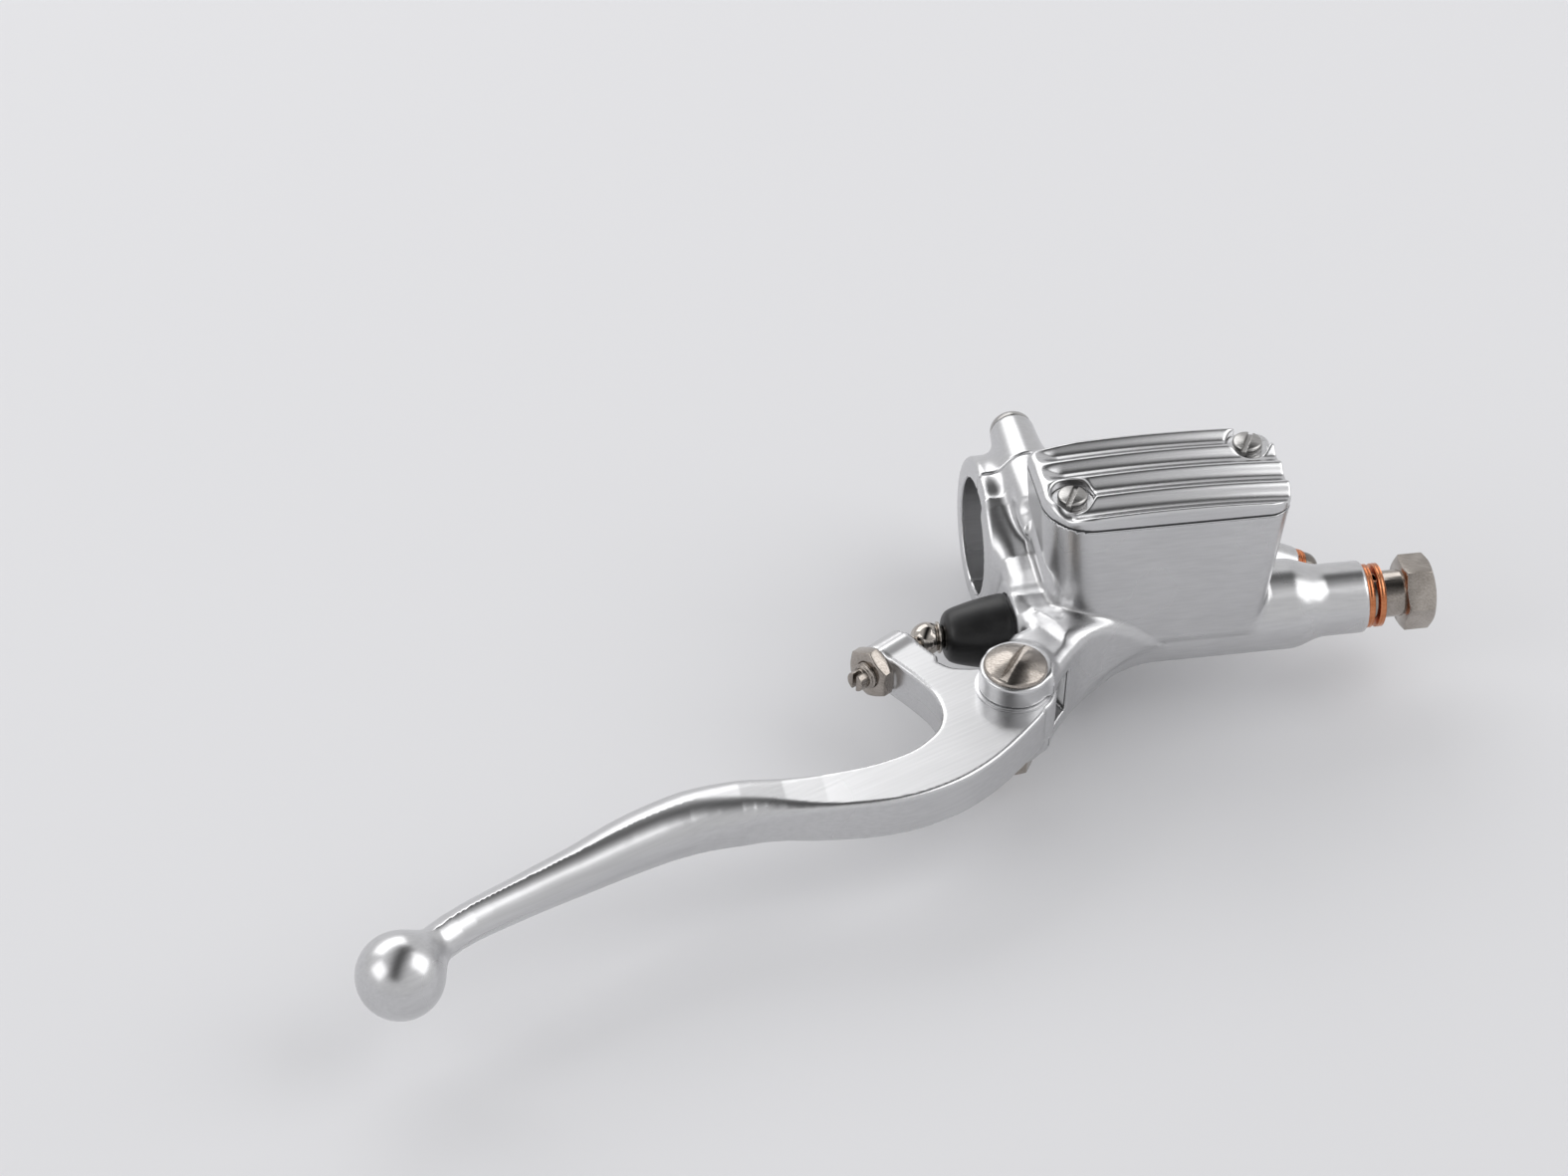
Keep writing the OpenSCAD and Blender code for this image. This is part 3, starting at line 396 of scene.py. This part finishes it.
def bodyField(x, y, z):
    s = bodyShape
    fromBore = np.hypot(y - s["boreY"], z)
    neck = 0.5 - 0.5 * np.cos(math.pi * np.clip((x - s["neckStart"]) / s["neckLength"], 0, 1))
    radius = s["housingRadius"] + (s["outletRadius"] - s["housingRadius"]) * neck
    housing = roundKeep(fromBore - radius, np.maximum(s["start"] - x, x - s["end"]), 0.9)
    tank = roundKeep(reservoirPlan(x, y, z), 2.0 - z, 1.2)
    ring = roundKeep(np.hypot(y, z) - s["ringRadius"], np.abs(x) - 10.5, 1.6)
    web = roundKeep(np.maximum(np.abs(z) - np.interp(-y, (9, 19, 31), (14.4, 10, 9.6)), -31 - y),
                    np.maximum(s["start"] - x, x - 10.5), 3.8)
    solid = roundJoin(ring, np.maximum(web, y + 9), 4.5)
    for side in (-1, 1):
        solid = roundJoin(solid, drum(x, y, z, (0, 0, side * 16.4), (0, -1, 0), 18, 5.6, 4.6, 0.6), 2.6)
    outline = np.vstack([arc((33.4, -80.4), 45.7, 151, 99, 16), [
        [26, -31], [-9.3, -31], [-9.3, -33], [-8.2, -36], [-9, -40.5], [-11.8, -41.8], [-14.2, -45], [-18, -47.6]]])
    plan = insidePolygon(x, y, outline)
    ear = np.hypot(x - s["pivot"][0], y - s["pivot"][1]) - s["earRadius"]
    arm = roundKeep(plan, np.abs(z) - (9.9 + 0.6 * ramp(-y, 41, 50)) + 6.5 * ramp(x, 6, 26), 3.0)
    arm = roundJoin(arm, roundKeep(ear, np.abs(z) - s["earTop"], 0.8), 2.0)
    shoulderLine = np.array([[-6, -37], [-2, -47], [3, -45.6], [7, -43.9], [11, -42.5], [15, -41.7], [20, -41.15],
                             [27, -40.9], [27, -36]])
    shoulderTop = 11.0 - 0.024 * np.maximum(x, 0) ** 2
    shoulderFoot = np.interp(x, (4, 9, 14, 17, 22, 27), (-7, -5, -2.2, -0.6, 0.9, 1.2))
    shoulder = roundKeep(insidePolygon(x, y, shoulderLine), np.maximum(z - shoulderTop, shoulderFoot - z), 2.6)
    solid = roundJoin(solid, housing, 2.4)
    solid = roundJoin(solid, arm, 3.2)
    solid = roundJoin(solid, tank, 1.3)
    solid = roundJoin(solid, shoulder, 1.6)
    slope = math.radians(25)
    portWay = (math.cos(slope), 0, -math.sin(slope))
    portEnd = np.array([54.9, -17.4, -2.25])
    solid = roundJoin(solid, drum(x, y, z, portEnd - 17 * np.array(portWay), portWay, 17, 5.2, 4.8, 0.4), 1.0)
    solid = roundCut(solid, capsule(x, y, z, (-4.4, -15.5, 19.5), (-3.9, -34, 14.6), 2.3, 2.6), 2.2)
    solid = roundCut(solid, capsule(x, y, z, (-4.6, -37.2, 12.4), (-1.8, -39.8, 12.2), 1.7, 1.3), 0.9)
    # holes
    solid = roundCut(solid, np.hypot(y, z) - s["barRadius"], 0.5)
    solid = roundKeep(solid, y, 0.7)
    for side in (-1, 1):
        solid = roundCut(solid, drum(x, y, z, (0, 1, side * 16.4), (0, -1, 0), 13, 2.55, 2.55), 0.25)
    slot = roundKeep(np.minimum(np.hypot(x - s["pivot"][0], y - s["pivot"][1]) - 12.2,
                                np.maximum(np.maximum(-33.8 - x, x + 13.8), np.maximum(-65.9 - y, y + 45.7))),
                     np.abs(z) - s["slotHalf"], 0.5)
    solid = roundCut(solid, slot, 0.5)
    solid = roundCut(solid, np.maximum(ear + s["earRadius"] - 4.04, -z), 0.25)
    solid = roundCut(solid, np.maximum(ear + s["earRadius"] - 3.04, z), 0.25)
    solid = roundCut(solid, np.maximum(fromBore - 7.0, x - 50), 0.3)
    solid = roundCut(solid, np.maximum(fromBore - 7.8, x + 6.5), 0.3)
    solid = np.maximum(solid, -np.maximum(fromBore - 7.9, np.maximum(-6.35 - x, x + 5.25)))
    solid = roundCut(solid, np.maximum(fromBore - 2.0, x - 56), 0.3)
    solid = roundCut(solid, np.maximum(fromBore - 5.03, 54 - x), 0.3)
    solid = roundCut(solid, drum(x, y, z, portEnd - 9 * np.array(portWay), portWay, 10, 3.03, 3.03), 0.25)
    posts = np.minimum.reduce([np.hypot(x - a, y - b) - 4.3 for a, b in screwSpots])
    hollow = np.maximum(roundKeep(roundKeep(reservoirPlan(x, y, z, 2.6), 12.0 - z, 2.0), -posts, 0.8), 12 - z)
    solid = roundCut(solid, hollow, 0.3)
    for at, size in ((15.5, 1.5), (31.6, 0.6)):
        solid = roundCut(solid, np.maximum(np.hypot(x - at, y - s["boreY"]) - size, np.maximum(4 - z, z - 14)), 0.2)
    for a, b in screwSpots:
        solid = roundCut(solid, np.maximum(np.hypot(x - a, y - b) - 2.03, 23.5 - z), 0.2)
    return np.maximum(solid, z - s["joint"])


cell = bodyShape["cell"]
bodyPiece = skin("casting", bodyField, (-23, -63, -23), (69, 1, 34.5), cell)
bodyPiece.data.materials.append(castAluminium)
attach(bodyPiece, "housing")
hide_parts("body")


# Clamp cap

capShape = dict(bossLength=14.3, bossRadius=5.6)


def capField(x, y, z):
    ring = roundKeep(np.hypot(y, z) - 17.2, np.abs(x) - 10.5, 1.6)
    solid = ring
    for side in (-1, 1):
        solid = roundJoin(solid, drum(x, y, z, (0, -2, side * 16.4), (0, 1, 0), capShape["bossLength"] + 2,
                                      capShape["bossRadius"] + 0.1, capShape["bossRadius"] - 0.8, 0.8), 3.2)
    solid = roundCut(solid, np.hypot(y, z) - 12.7, 0.5)
    for side in (-1, 1):
        solid = roundCut(solid, np.maximum(np.hypot(x, z - side * 16.4) - 2.62, -1 - y), 0.25)
    return roundKeep(solid, 0.02 - y, 0.7)


capPiece = skin("clampCap", capField, (-12, -0.6, -23.4), (12, 18.5, 23.4), cell)
capPiece.data.materials.append(castAluminium)
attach(capPiece, "housing")
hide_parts("clamp_cap")


# Ribbed reservoir cover

coverShape = dict(bottom=34.0, top=38.3, archRadius=300.0, ribPitch=6.2, ribDepth=1.5, domeDrop=0.9,
                  headFloor=34.9, recessRadius=4.55, cell=0.3)


def coverTop(x, y):
    # height of the cover: a shallow arch along it, a dome across it, five ribs with narrow round crests
    s = coverShape
    across = y + 28.2
    arch = s["archRadius"] - np.sqrt(s["archRadius"] ** 2 - (x - 20.85) ** 2)
    crest = (0.5 + 0.5 * np.cos(2 * math.pi * across / s["ribPitch"])) ** 1.35
    groove = s["ribDepth"] * (1 - crest) * ramp(x, -4.6, 1.2)
    return s["top"] - arch - s["domeDrop"] * (across / 12.8) ** 2 - groove


def coverField(x, y, z):
    s = coverShape
    plan = reservoirPlan(x, y, 33.5)
    top = z - coverTop(x, y)
    softEnd = 0.5 + 1.6 * (1 - ramp(x, -3, 8))
    solid = roundKeep(plan, top, softEnd)
    solid = roundKeep(solid, s["bottom"] - z, 0.3)
    for k, (a, b) in enumerate(screwSpots):
        near = np.hypot(x - a, y - b)
        recess = near - s["recessRadius"]
        if k == 1:
            recess = roundJoin(recess, np.maximum(a - x, b - y), 0.8)
        solid = roundCut(solid, np.maximum(recess, s["headFloor"] - z), 0.7)
        solid = roundCut(solid, near - 2.2, 0.2)
    hollow = np.maximum(reservoirPlan(x, y, 33.5, 5.0), z - 34.7)
    for a, b in screwSpots:
        hollow = np.maximum(hollow, 5.4 - np.hypot(x - a, y - b))
    return roundCut(solid, hollow, 0.3)


coverPiece = skin("ribbedCover", coverField, (-6, -42, 33.4), (47.7, -14.4, 39.4), coverShape["cell"])
coverPiece.data.materials.append(coverAluminium)
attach(coverPiece, "housing")
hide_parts("reservoir_cover")


# Lever

leverShape = dict(edge=0.9, ovalEdge=7.5, hub=9.0, ball=8.8, ballAt=(-147.4, -112.1), adjusterAngle=32.7)
pushHead = (-27.2, -31.0)
outWay = np.array([-math.cos(math.radians(leverShape["adjusterAngle"])), -math.sin(math.radians(leverShape["adjusterAngle"]))])
sideWay = np.array([-outWay[1], outWay[0]])


def besideAdjuster(along, aside):
    # a point by the adjuster's axis: distance outwards along it, then distance towards the pivot
    return (np.array(pushHead) + along * outWay + aside * sideWay).tolist()


hookBack = [[-58.1, -73.5], [-51.8, -72.8], [-45.2, -71.5], [-38.5, -69.2], [-34.3, -66.3], [-31.6, -63.4],
            [-30.1, -59.6], [-30, -55.7], [-31.1, -51.8], [-33.9, -46.7]]
hookArm = [besideAdjuster(14.2, 2.5), besideAdjuster(14.2, 0), besideAdjuster(6, 0), besideAdjuster(6, 9)]
hookFront = [[-27.6, -43.6], [-24.8, -45.9], [-19.6, -46.8], [-13.8, -47.7], [-7.8, -53.7], [-8.2, -60.5],
             [-12.4, -65.7], [-20.5, -73.2], [-27.8, -78.1], [-34.7, -81.1], [-41.3, -82.8], [-47.6, -83.4],
             [-53.8, -83.1], [-62, -81.9], [-70, -80.2], [-70, -74.2]]
bladeStations = np.array([(-40, -77.5, 3.0, 4.75), (-58, -78.3, 4.2, 4.75), (-66, -77.6, 4.7, 5.0), (-75, -77.3, 5.8, 5.7), (-86, -78.6, 6.4, 6.0),
                          (-98, -83, 6.1, 5.7), (-110, -88.9, 5.3, 5.2), (-122, -94.6, 4.8, 4.8), (-136, -102, 4.5, 4.5),
                          (-147.4, -112.1, 4.6, 4.6)])


def smoothLine(points, steps=5):
    # a curve through every point, each stretch bent by the points on both sides of it
    p = np.array(points, float)
    q = np.vstack([2 * p[:1] - p[1:2], p, 2 * p[-1:] - p[-2:-1]])
    t = np.linspace(0, 1, steps, endpoint=False)[None, :, None]
    a, b, c, d = (q[k:len(q) - 3 + k][:, None, :] for k in range(4))
    curve = 0.5 * (2 * b + (c - a) * t + (2 * a - 5 * b + 4 * c - d) * t ** 2 + (3 * b - a - 3 * c + d) * t ** 3)
    return np.vstack([curve.reshape(-1, p.shape[1]), p[-1:]])


bladeLine = smoothLine(bladeStations, steps=4)
leverOutline = np.vstack([smoothLine(hookBack, steps=3), hookArm, smoothLine(hookFront, steps=3)])


def leverField(x, y, z):
    # one outline in plan, one half thickness along it, and an edge that opens from crisp on the hook to oval
    s = leverShape
    hub = np.hypot(x + 13.8, y + 53.7) - s["hub"]
    away, share = alongPath(x, y, bladeLine[:, :2])
    wide = np.interp(share, np.arange(len(bladeLine)), bladeLine[:, 2])
    plate = np.minimum(insidePolygon(x, y, leverOutline), hub)
    plan = roundJoin(plate, away - wide, 2.5)
    tall = np.interp(-x, -bladeStations[:, 0], bladeStations[:, 3] + 0.25)
    edge = s["edge"] + (s["ovalEdge"] - s["edge"]) * ramp(-x, 52, 92)
    solid = roundKeep(plan, np.abs(z) - tall, edge)
    start = (*besideAdjuster(6, 0), 0)
    solid = roundJoin(solid, drum(x, y, z, start, (*outWay, 0), 8.2, 4.98, 4.98, 0.7), 1.0)
    bulb = np.sqrt((x - s["ballAt"][0]) ** 2 + (y - s["ballAt"][1]) ** 2 + z ** 2) - s["ball"]
    solid = roundJoin(solid, bulb, 3.2)
    solid = roundCut(solid, hub + s["hub"] - 5.5, 0.3)
    axisStart = (*besideAdjuster(0, 0), 0)
    return roundCut(solid, drum(x, y, z, axisStart, (*outWay, 0), 20, 2.93, 2.93), 0.35)


leverPiece = skin("leverBlade", leverField, (-157.5, -122.3, -9.8), (-3.5, -30, 9.8), cell)
leverPiece.data.materials.append(leverAluminium)
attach(leverPiece, "lever")
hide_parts("lever")
print("castings made")


# Adjuster screw with its thread

adjusterShape = dict(radius=2.9, pitch=0.8, depth=0.42, start=3.65, end=20.95, thinLength=2.6, thinRadius=2.15, around=48)


def threaded(name, origin, direction, start, end, radius, pitch, depth, around, chamfer=0.7):
    # radius at angle a and distance t: the full radius less a rounded saw-tooth of (t / pitch - a / turn)
    axis = np.array(direction, float) / np.linalg.norm(direction)
    side = np.cross(axis, (0, 0, 1))
    side /= np.linalg.norm(side)
    other = np.cross(axis, side)
    t = np.linspace(start, end, int((end - start) / pitch * 12) + 1)
    turn = np.linspace(0, 2 * math.pi, around, endpoint=False)
    wave = np.abs(((t[:, None] / pitch - turn[None, :] / (2 * math.pi)) % 1) * 2 - 1)
    r = radius - depth * ramp(wave, 0.12, 0.88)
    edge = np.minimum(t - start, end - t)[:, None]
    r = np.minimum(r, radius - depth + np.maximum(edge - chamfer + depth + 0.25, 0))
    grid = (np.array(origin) + t[:, None, None] * axis + r[:, :, None]
            * (side * np.cos(turn)[:, None] + other * np.sin(turn)[:, None])[None])
    return sweepGrid(name, grid)


def slotted(name, origin, direction, start, end, radius, slotWidth, slotDepth, slotTurn):
    # a short round end with a straight slot: the height over each point of the disc drops inside the slot
    axis = np.array(direction, float) / np.linalg.norm(direction)
    side = np.cross(axis, (0, 0, 1))
    side /= np.linalg.norm(side)
    other = np.cross(axis, side)
    across = side * math.cos(slotTurn) + other * math.sin(slotTurn)
    down = np.cross(axis, across)

    def field(x, y, z):
        rx, ry, rz = x - origin[0], y - origin[1], z - origin[2]
        t = rx * axis[0] + ry * axis[1] + rz * axis[2]
        u = rx * across[0] + ry * across[1] + rz * across[2]
        v = rx * down[0] + ry * down[1] + rz * down[2]
        disc = roundKeep(np.hypot(u, v) - radius, np.maximum(start - t, t - end), 0.35)
        return roundCut(disc, np.maximum(np.abs(v) - slotWidth / 2, end - slotDepth - t), 0.15)

    middle = np.array(origin) + axis * (start + end) / 2
    reach = radius + (end - start) / 2 + 0.6
    return skin(name, field, middle - reach, middle + reach, 0.15)


a = adjusterShape
adjusterOrigin = (*pushHead, 0.0)
adjusterWay = (*outWay, 0.0)
threadPiece = threaded("adjusterThread", adjusterOrigin, adjusterWay, a["start"], a["end"] - a["thinLength"] + 0.1,
                       a["radius"], a["pitch"], a["depth"], a["around"])
tipPiece = slotted("adjusterTip", adjusterOrigin, adjusterWay, a["end"] - a["thinLength"] - 0.2, a["end"],
                   a["thinRadius"], 1.0, 1.8, math.radians(90))
for piece in (threadPiece, tipPiece):
    piece.data.materials.append(turnedSteel)
    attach(piece, "lever")
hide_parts("adjuster_screw")
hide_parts("adjuster_screw")


# Slotted screws
screwShape = dict(pivotSpot=(-13.8, -53.7), pivotHead=6.7, pivotFoot=10.5, coverHead=3.15, coverFoot=34.9,
                  pivotSlot=1.5, coverSlot=1.0, cell=0.2)


def slottedScrew(name, spot, radius, foot, side, rise, shanks, slotWide, slotFloor, slotTurn, edge):
    # a domed disc whose top falls with the square of the distance from its middle, on plain round shanks;
    # a straight slot is cut down to slotFloor
    cosTurn, sinTurn = math.cos(math.radians(slotTurn)), math.sin(math.radians(slotTurn))

    def field(x, y, z):
        u, v = x - spot[0], y - spot[1]
        out = np.hypot(u, v)
        top = foot + side + rise * (1 - (out / radius) ** 2)
        head = np.maximum(roundKeep(out - radius, z - top, edge), foot - z)
        across = np.abs(v * cosTurn - u * sinTurn)
        head = roundCut(head, np.maximum(across - slotWide / 2, slotFloor - z), 0.12)
        for r, low, high in shanks:
            head = np.minimum(head, np.maximum(out - r, np.maximum(low - z, z - high)))
        return head

    low = min(shank[1] for shank in shanks)
    return skin(name, field, (spot[0] - radius - 0.7, spot[1] - radius - 0.7, low - 0.7),
                (spot[0] + radius + 0.7, spot[1] + radius + 0.7, foot + side + rise + 0.7), screwShape["cell"])


c = screwShape
pivotScrew = slottedScrew("pivotScrewHead", c["pivotSpot"], c["pivotHead"], c["pivotFoot"], 0.7, 1.9,
                          ((4.0, -5.5, 10.8), (3.0, -16.7, -5.0)), c["pivotSlot"], 11.5, 52, 0.6)
coverScrews = [slottedScrew(f"coverScrew{k + 1}", spot, c["coverHead"], c["coverFoot"], 1.9, 0.4,
                            ((2.0, 24.9, 35.1),), c["coverSlot"], 35.9, 62, 0.6) for k, spot in enumerate(screwSpots)]
for piece, finish in [(pivotScrew, turnedSteel)] + [(k, brightSteel) for k in coverScrews]:
    piece.data.materials.append(finish)
    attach(piece, "housing")
    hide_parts("pivot_screw" if piece is pivotScrew else "cover_screws")

# collar between the push rod's ball and its shank
collar = turned("pushRodCollar", [[2.1, -25.0], [3.1, -25.0], [3.4, -24.87], [3.4, -24.6], [3.2, -24.45], [2.1, -24.45], [2.1, -25.0]],
                (0, -31, 0), (1, 0, 0), 64)
collar.data.materials.append(polishedSteel)
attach(collar, "push_rod")


# Rubber boot

bootShape = dict(mouth=-6.7, lip=-9.3, smallEnd=-23.6, rodRadius=2.2, seat=7.7, around=96)
b = bootShape
outer = [[2.65, b["smallEnd"]], [3.2, b["smallEnd"] - 0.02], [4.0, b["smallEnd"] + 0.08], [4.7, b["smallEnd"] + 0.42],
         [5.3, b["smallEnd"] + 0.95], [5.75, b["smallEnd"] + 1.8], [6.2, b["smallEnd"] + 3.2], [7.0, -17.2], [7.55, -14.2],
         [7.85, -12.2], [7.95, -11.0], [7.85, -10.0], [7.7, -9.2], [7.6, -8.4], [7.6, -7.6]]
inner = [[6.5, -7.6], [6.5, -9.6], [6.4, -11.8], [5.6, -15.4], [4.6, -19.4], [4.2, -20.9], [3.4, -21.6], [2.65, -21.9]]
profile = np.vstack([smoothLine(outer, steps=4), smoothLine(inner, steps=3), [outer[0]]])
bootPiece = turned("rubberBoot", profile, (0, -31, 0), (1, 0, 0), b["around"])
bootPiece.data.materials.append(bootRubber)
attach(bootPiece, "housing")
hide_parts("rubber_boot")
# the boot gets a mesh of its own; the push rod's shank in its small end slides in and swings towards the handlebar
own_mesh(bootPiece)


# Return spring

springShape = dict(start=26.4, end=50.0, coils=6, radius=4.9, wire=0.55, around=14, perCoil=28)
s = springShape
steps = (s["coils"] + 2) * s["perCoil"]
turnShare = np.linspace(0, s["coils"] + 2, steps)
rise = np.interp(turnShare, (0, 0.9, s["coils"] + 1.1, s["coils"] + 2), (0, 0.05, 0.95, 1))
path = np.stack([s["start"] + s["wire"] + rise * (s["end"] - s["start"] - 2 * s["wire"]),
                 -31 + s["radius"] * np.cos(2 * math.pi * turnShare), s["radius"] * np.sin(2 * math.pi * turnShare)], 1)
outwards = np.stack([0 * turnShare, np.cos(2 * math.pi * turnShare), np.sin(2 * math.pi * turnShare)], 1)
lengthways = np.tile([1.0, 0, 0], (steps, 1))
ring = np.linspace(0, 2 * math.pi, s["around"], endpoint=False)
wireGrid = path[:, None] + s["wire"] * (outwards[:, None] * np.cos(ring)[None, :, None] + lengthways[:, None] * np.sin(ring)[None, :, None])
springPiece = tidyMesh(sweepGrid("returnSpring", wireGrid))
springPiece.data.materials.append(springSteel)
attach(springPiece, "housing")
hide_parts("return_spring")
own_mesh(springPiece)
print("adjuster, boot and spring made")


# Copper rings: grooved rims

def grooved(name, starts, origin, axis, outside, inside, thickness, grooves):
    # rings whose rim dips by a tenth of a millimetre in fine turned grooves
    pieces = []
    for k, begin in enumerate(starts):
        t = np.linspace(0, 1, 40)
        rim = outside - 0.10 * (0.5 - 0.5 * np.cos(2 * math.pi * grooves * t))
        rim = np.minimum(rim, outside - 0.18 + 1.6 * np.minimum(t, 1 - t) * thickness)
        points = np.vstack([[[inside, begin]], np.stack([rim, begin + t * thickness], 1),
                            [[inside, begin + thickness]], [[inside, begin]]])
        pieces.append(turned(f"{name}{k + 1}", points, origin, axis, 96))
    return pieces


portWay = (math.cos(math.radians(25)), 0, -math.sin(math.radians(25)))
rings = grooved("outletRing", (67.2, 69.6), (0, -31, 0), (1, 0, 0), 6.8, 5.06, 1.4, 2)
rings += grooved("portRing", (0, 1.05), (54.9, -17.4, -2.25), portWay, 4.6, 3.06, 1.0, 2)
for k, piece in enumerate(rings):
    piece.data.materials.append(annealedCopper)
    keepEdges(piece, 50)
    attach(piece, "housing")
    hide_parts("outlet_washers" if k < 2 else "port_washers")


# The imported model's own turned parts: better finishes and softened edges

finishes = {
    "clamp_bolts": (brightSteel, 0.25), 
    "pivot_nut": (turnedSteel, 0.15), "adjuster_locknut": (turnedSteel, 0.15), "banjo_bolt": (turnedSteel, 0.2),
    "port_plug": (darkSteel, 0.2), "push_rod": (polishedSteel, 0.1), "lever_shims": (leverAluminium, 0.05),
    "stop_washer": (springSteel, 0.05), "circlip": (springSteel, 0.08), "spring_seat": (springSteel, 0.05),
    "piston": (anodisedAluminium, 0.15), "pivot_bush": (sinteredBronze, 0.1), "primary_cup": (sealRubber, 0.1),
    "secondary_cup": (sealRubber, 0.1), "diaphragm": (sealRubber, 0.1), "cover_gasket": (sealRubber, 0.05),
}
for node, (finish, width) in finishes.items():
    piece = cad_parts[node]
    piece.data.materials.clear()
    piece.data.materials.append(finish)
    weld = piece.modifiers.new("weld", "WELD")
    weld.merge_threshold = 1e-6
    soften = piece.modifiers.new("soften", "BEVEL")
    soften.width, soften.segments, soften.limit_method = width * mm, 2, "ANGLE"
    soften.angle_limit = math.radians(28)
    soften.harden_normals = False
    smooth = piece.modifiers.new("smooth", "EDGE_SPLIT")
    smooth.split_angle = math.radians(40)
    piece.data.polygons.foreach_set("use_smooth", np.ones(len(piece.data.polygons), bool))
print("turned parts finished")


# Studio

stageShape = dict(floorHalf=3.0, floorColour="#dfdfe1", worldColour="#e2e2e3", fillStrength=0.80, backdrop=0.95,
                  gap=0.02, gapWidth=0.52)
lowest = cadBox[0][2]
half = stageShape["floorHalf"]
floorMesh = bpy.data.meshes.new("studioFloor")
floorMesh.from_pydata([(-half, -half, lowest), (half, -half, lowest), (half, half, lowest), (-half, half, lowest)], [], [(0, 1, 2, 3)])
floor = bpy.data.objects.new("studioFloor", floorMesh)
bpy.context.scene.collection.objects.link(floor)
floorFinish, tree = emptyMaterial("palePaper")
shader = addNode(tree, "ShaderNodeBsdfPrincipled", values={"Base Color": linear(stageShape["floorColour"]), "Roughness": 0.9})
addNode(tree, "ShaderNodeOutputMaterial", links={"Surface": shader.outputs[0]})
floorMesh.materials.append(floorFinish)

world = bpy.data.worlds.new("studio")
world.use_nodes = True
bpy.context.scene.world = world
tree = world.node_tree
tree.nodes.clear()
path = addNode(tree, "ShaderNodeLightPath")
seen = addNode(tree, "ShaderNodeMath", {"operation": "MAXIMUM"}, links={
    0: path.outputs["Is Camera Ray"], 1: path.outputs["Is Glossy Ray"]}).outputs[0]
seen = addNode(tree, "ShaderNodeMath", {"operation": "MAXIMUM"}, links={
    0: seen, 1: path.outputs["Is Transmission Ray"]}).outputs[0]
# glossy rays meet a pale backdrop with one dark gap between the soft boxes, running from the front left over the top
direction = addNode(tree, "ShaderNodeTexCoord").outputs["Generated"]
aside = addNode(tree, "ShaderNodeVectorMath", {"operation": "DOT_PRODUCT"}, {1: (-0.886, 0.464, 0.007)}, {0: direction})
aside = addNode(tree, "ShaderNodeMath", {"operation": "ABSOLUTE"}, links={0: aside.outputs["Value"]}).outputs[0]
beside = addNode(tree, "ShaderNodeMapRange", {"interpolation_type": "SMOOTHSTEP"}, {
    "From Min": 0.04, "From Max": stageShape["gapWidth"], "To Min": 1, "To Max": 0}, {"Value": aside}).outputs[0]
height = addNode(tree, "ShaderNodeVectorMath", {"operation": "DOT_PRODUCT"}, {1: (0, -0.15, 1)}, {0: direction})
above = addNode(tree, "ShaderNodeMapRange", {"interpolation_type": "SMOOTHSTEP"}, {
    "From Min": 0.56, "From Max": 0.72}, {"Value": height.outputs["Value"]}).outputs[0]
dark = addNode(tree, "ShaderNodeMath", {"operation": "MULTIPLY"}, links={0: beside, 1: above}).outputs[0]
level = addNode(tree, "ShaderNodeMapRange", values={"To Min": stageShape["backdrop"], "To Max": stageShape["gap"]},
                links={"Value": dark}).outputs[0]
strength = addNode(tree, "ShaderNodeMix", values={2: stageShape["fillStrength"]}, links={0: seen, 3: level}).outputs[0]
sky = addNode(tree, "ShaderNodeBackground", values={"Color": linear(stageShape["worldColour"])}, links={"Strength": strength})
addNode(tree, "ShaderNodeOutputWorld", links={"Surface": sky.outputs[0]})

lamps = {
    "softBoxBehind": dict(at=(-0.42, 0.92, 0.80), aim=(-0.04, -0.04, 0), size=(1.4, 0.75), power=5.4),
    "softBoxRight": dict(at=(0.90, -0.20, 0.88), aim=(-0.02, -0.04, 0), size=(1.0, 1.0), power=4.6),
    "leftFill": dict(at=(-1.0, -0.25, 0.6), aim=(-0.03, -0.05, 0), size=(0.7, 0.6), power=1.8),
}
for name, lamp in lamps.items():
    light = bpy.data.lights.new(name, "AREA")
    light.shape, light.size, light.size_y, light.energy = "RECTANGLE", lamp["size"][0], lamp["size"][1], lamp["power"]
    holder = bpy.data.objects.new(name, light)
    back = np.array(lamp["at"]) - np.array(lamp["aim"])
    back /= np.linalg.norm(back)
    right = np.cross((0, 0, 1), back)
    right /= np.linalg.norm(right)
    turn = Matrix(np.stack([right, np.cross(back, right), back], 1).tolist())
    holder.matrix_world = Matrix.Translation(lamp["at"]) @ turn.to_4x4()
    bpy.context.scene.collection.objects.link(holder)

# camera: 12 degrees round from the front, 41 degrees up, rolled 2.5 degrees, with a long lens
view = dict(place=(-0.20606, -0.72697, 0.63637), azimuth=12.0, elevation=41.0, roll=2.5, lens=105.14)
az, el, roll = (math.radians(view[k]) for k in ("azimuth", "elevation", "roll"))
flat = np.array([math.cos(az), -math.sin(az), 0])
ahead = np.array([math.sin(az) * math.cos(el), math.cos(az) * math.cos(el), -math.sin(el)])
upright = np.cross(flat, ahead)
right = flat * math.cos(roll) + upright * math.sin(roll)
up = upright * math.cos(roll) - flat * math.sin(roll)
cameraData = bpy.data.cameras.new("camera")
cameraData.lens, cameraData.sensor_width = view["lens"], 36
camera = bpy.data.objects.new("camera", cameraData)
camera.matrix_world = Matrix.Translation(view["place"]) @ Matrix(np.stack([right, up, -ahead], 1).tolist()).to_4x4()
bpy.context.scene.collection.objects.link(camera)
bpy.context.scene.camera = camera
bpy.context.scene.view_settings.view_transform = "Standard"
print("studio ready")
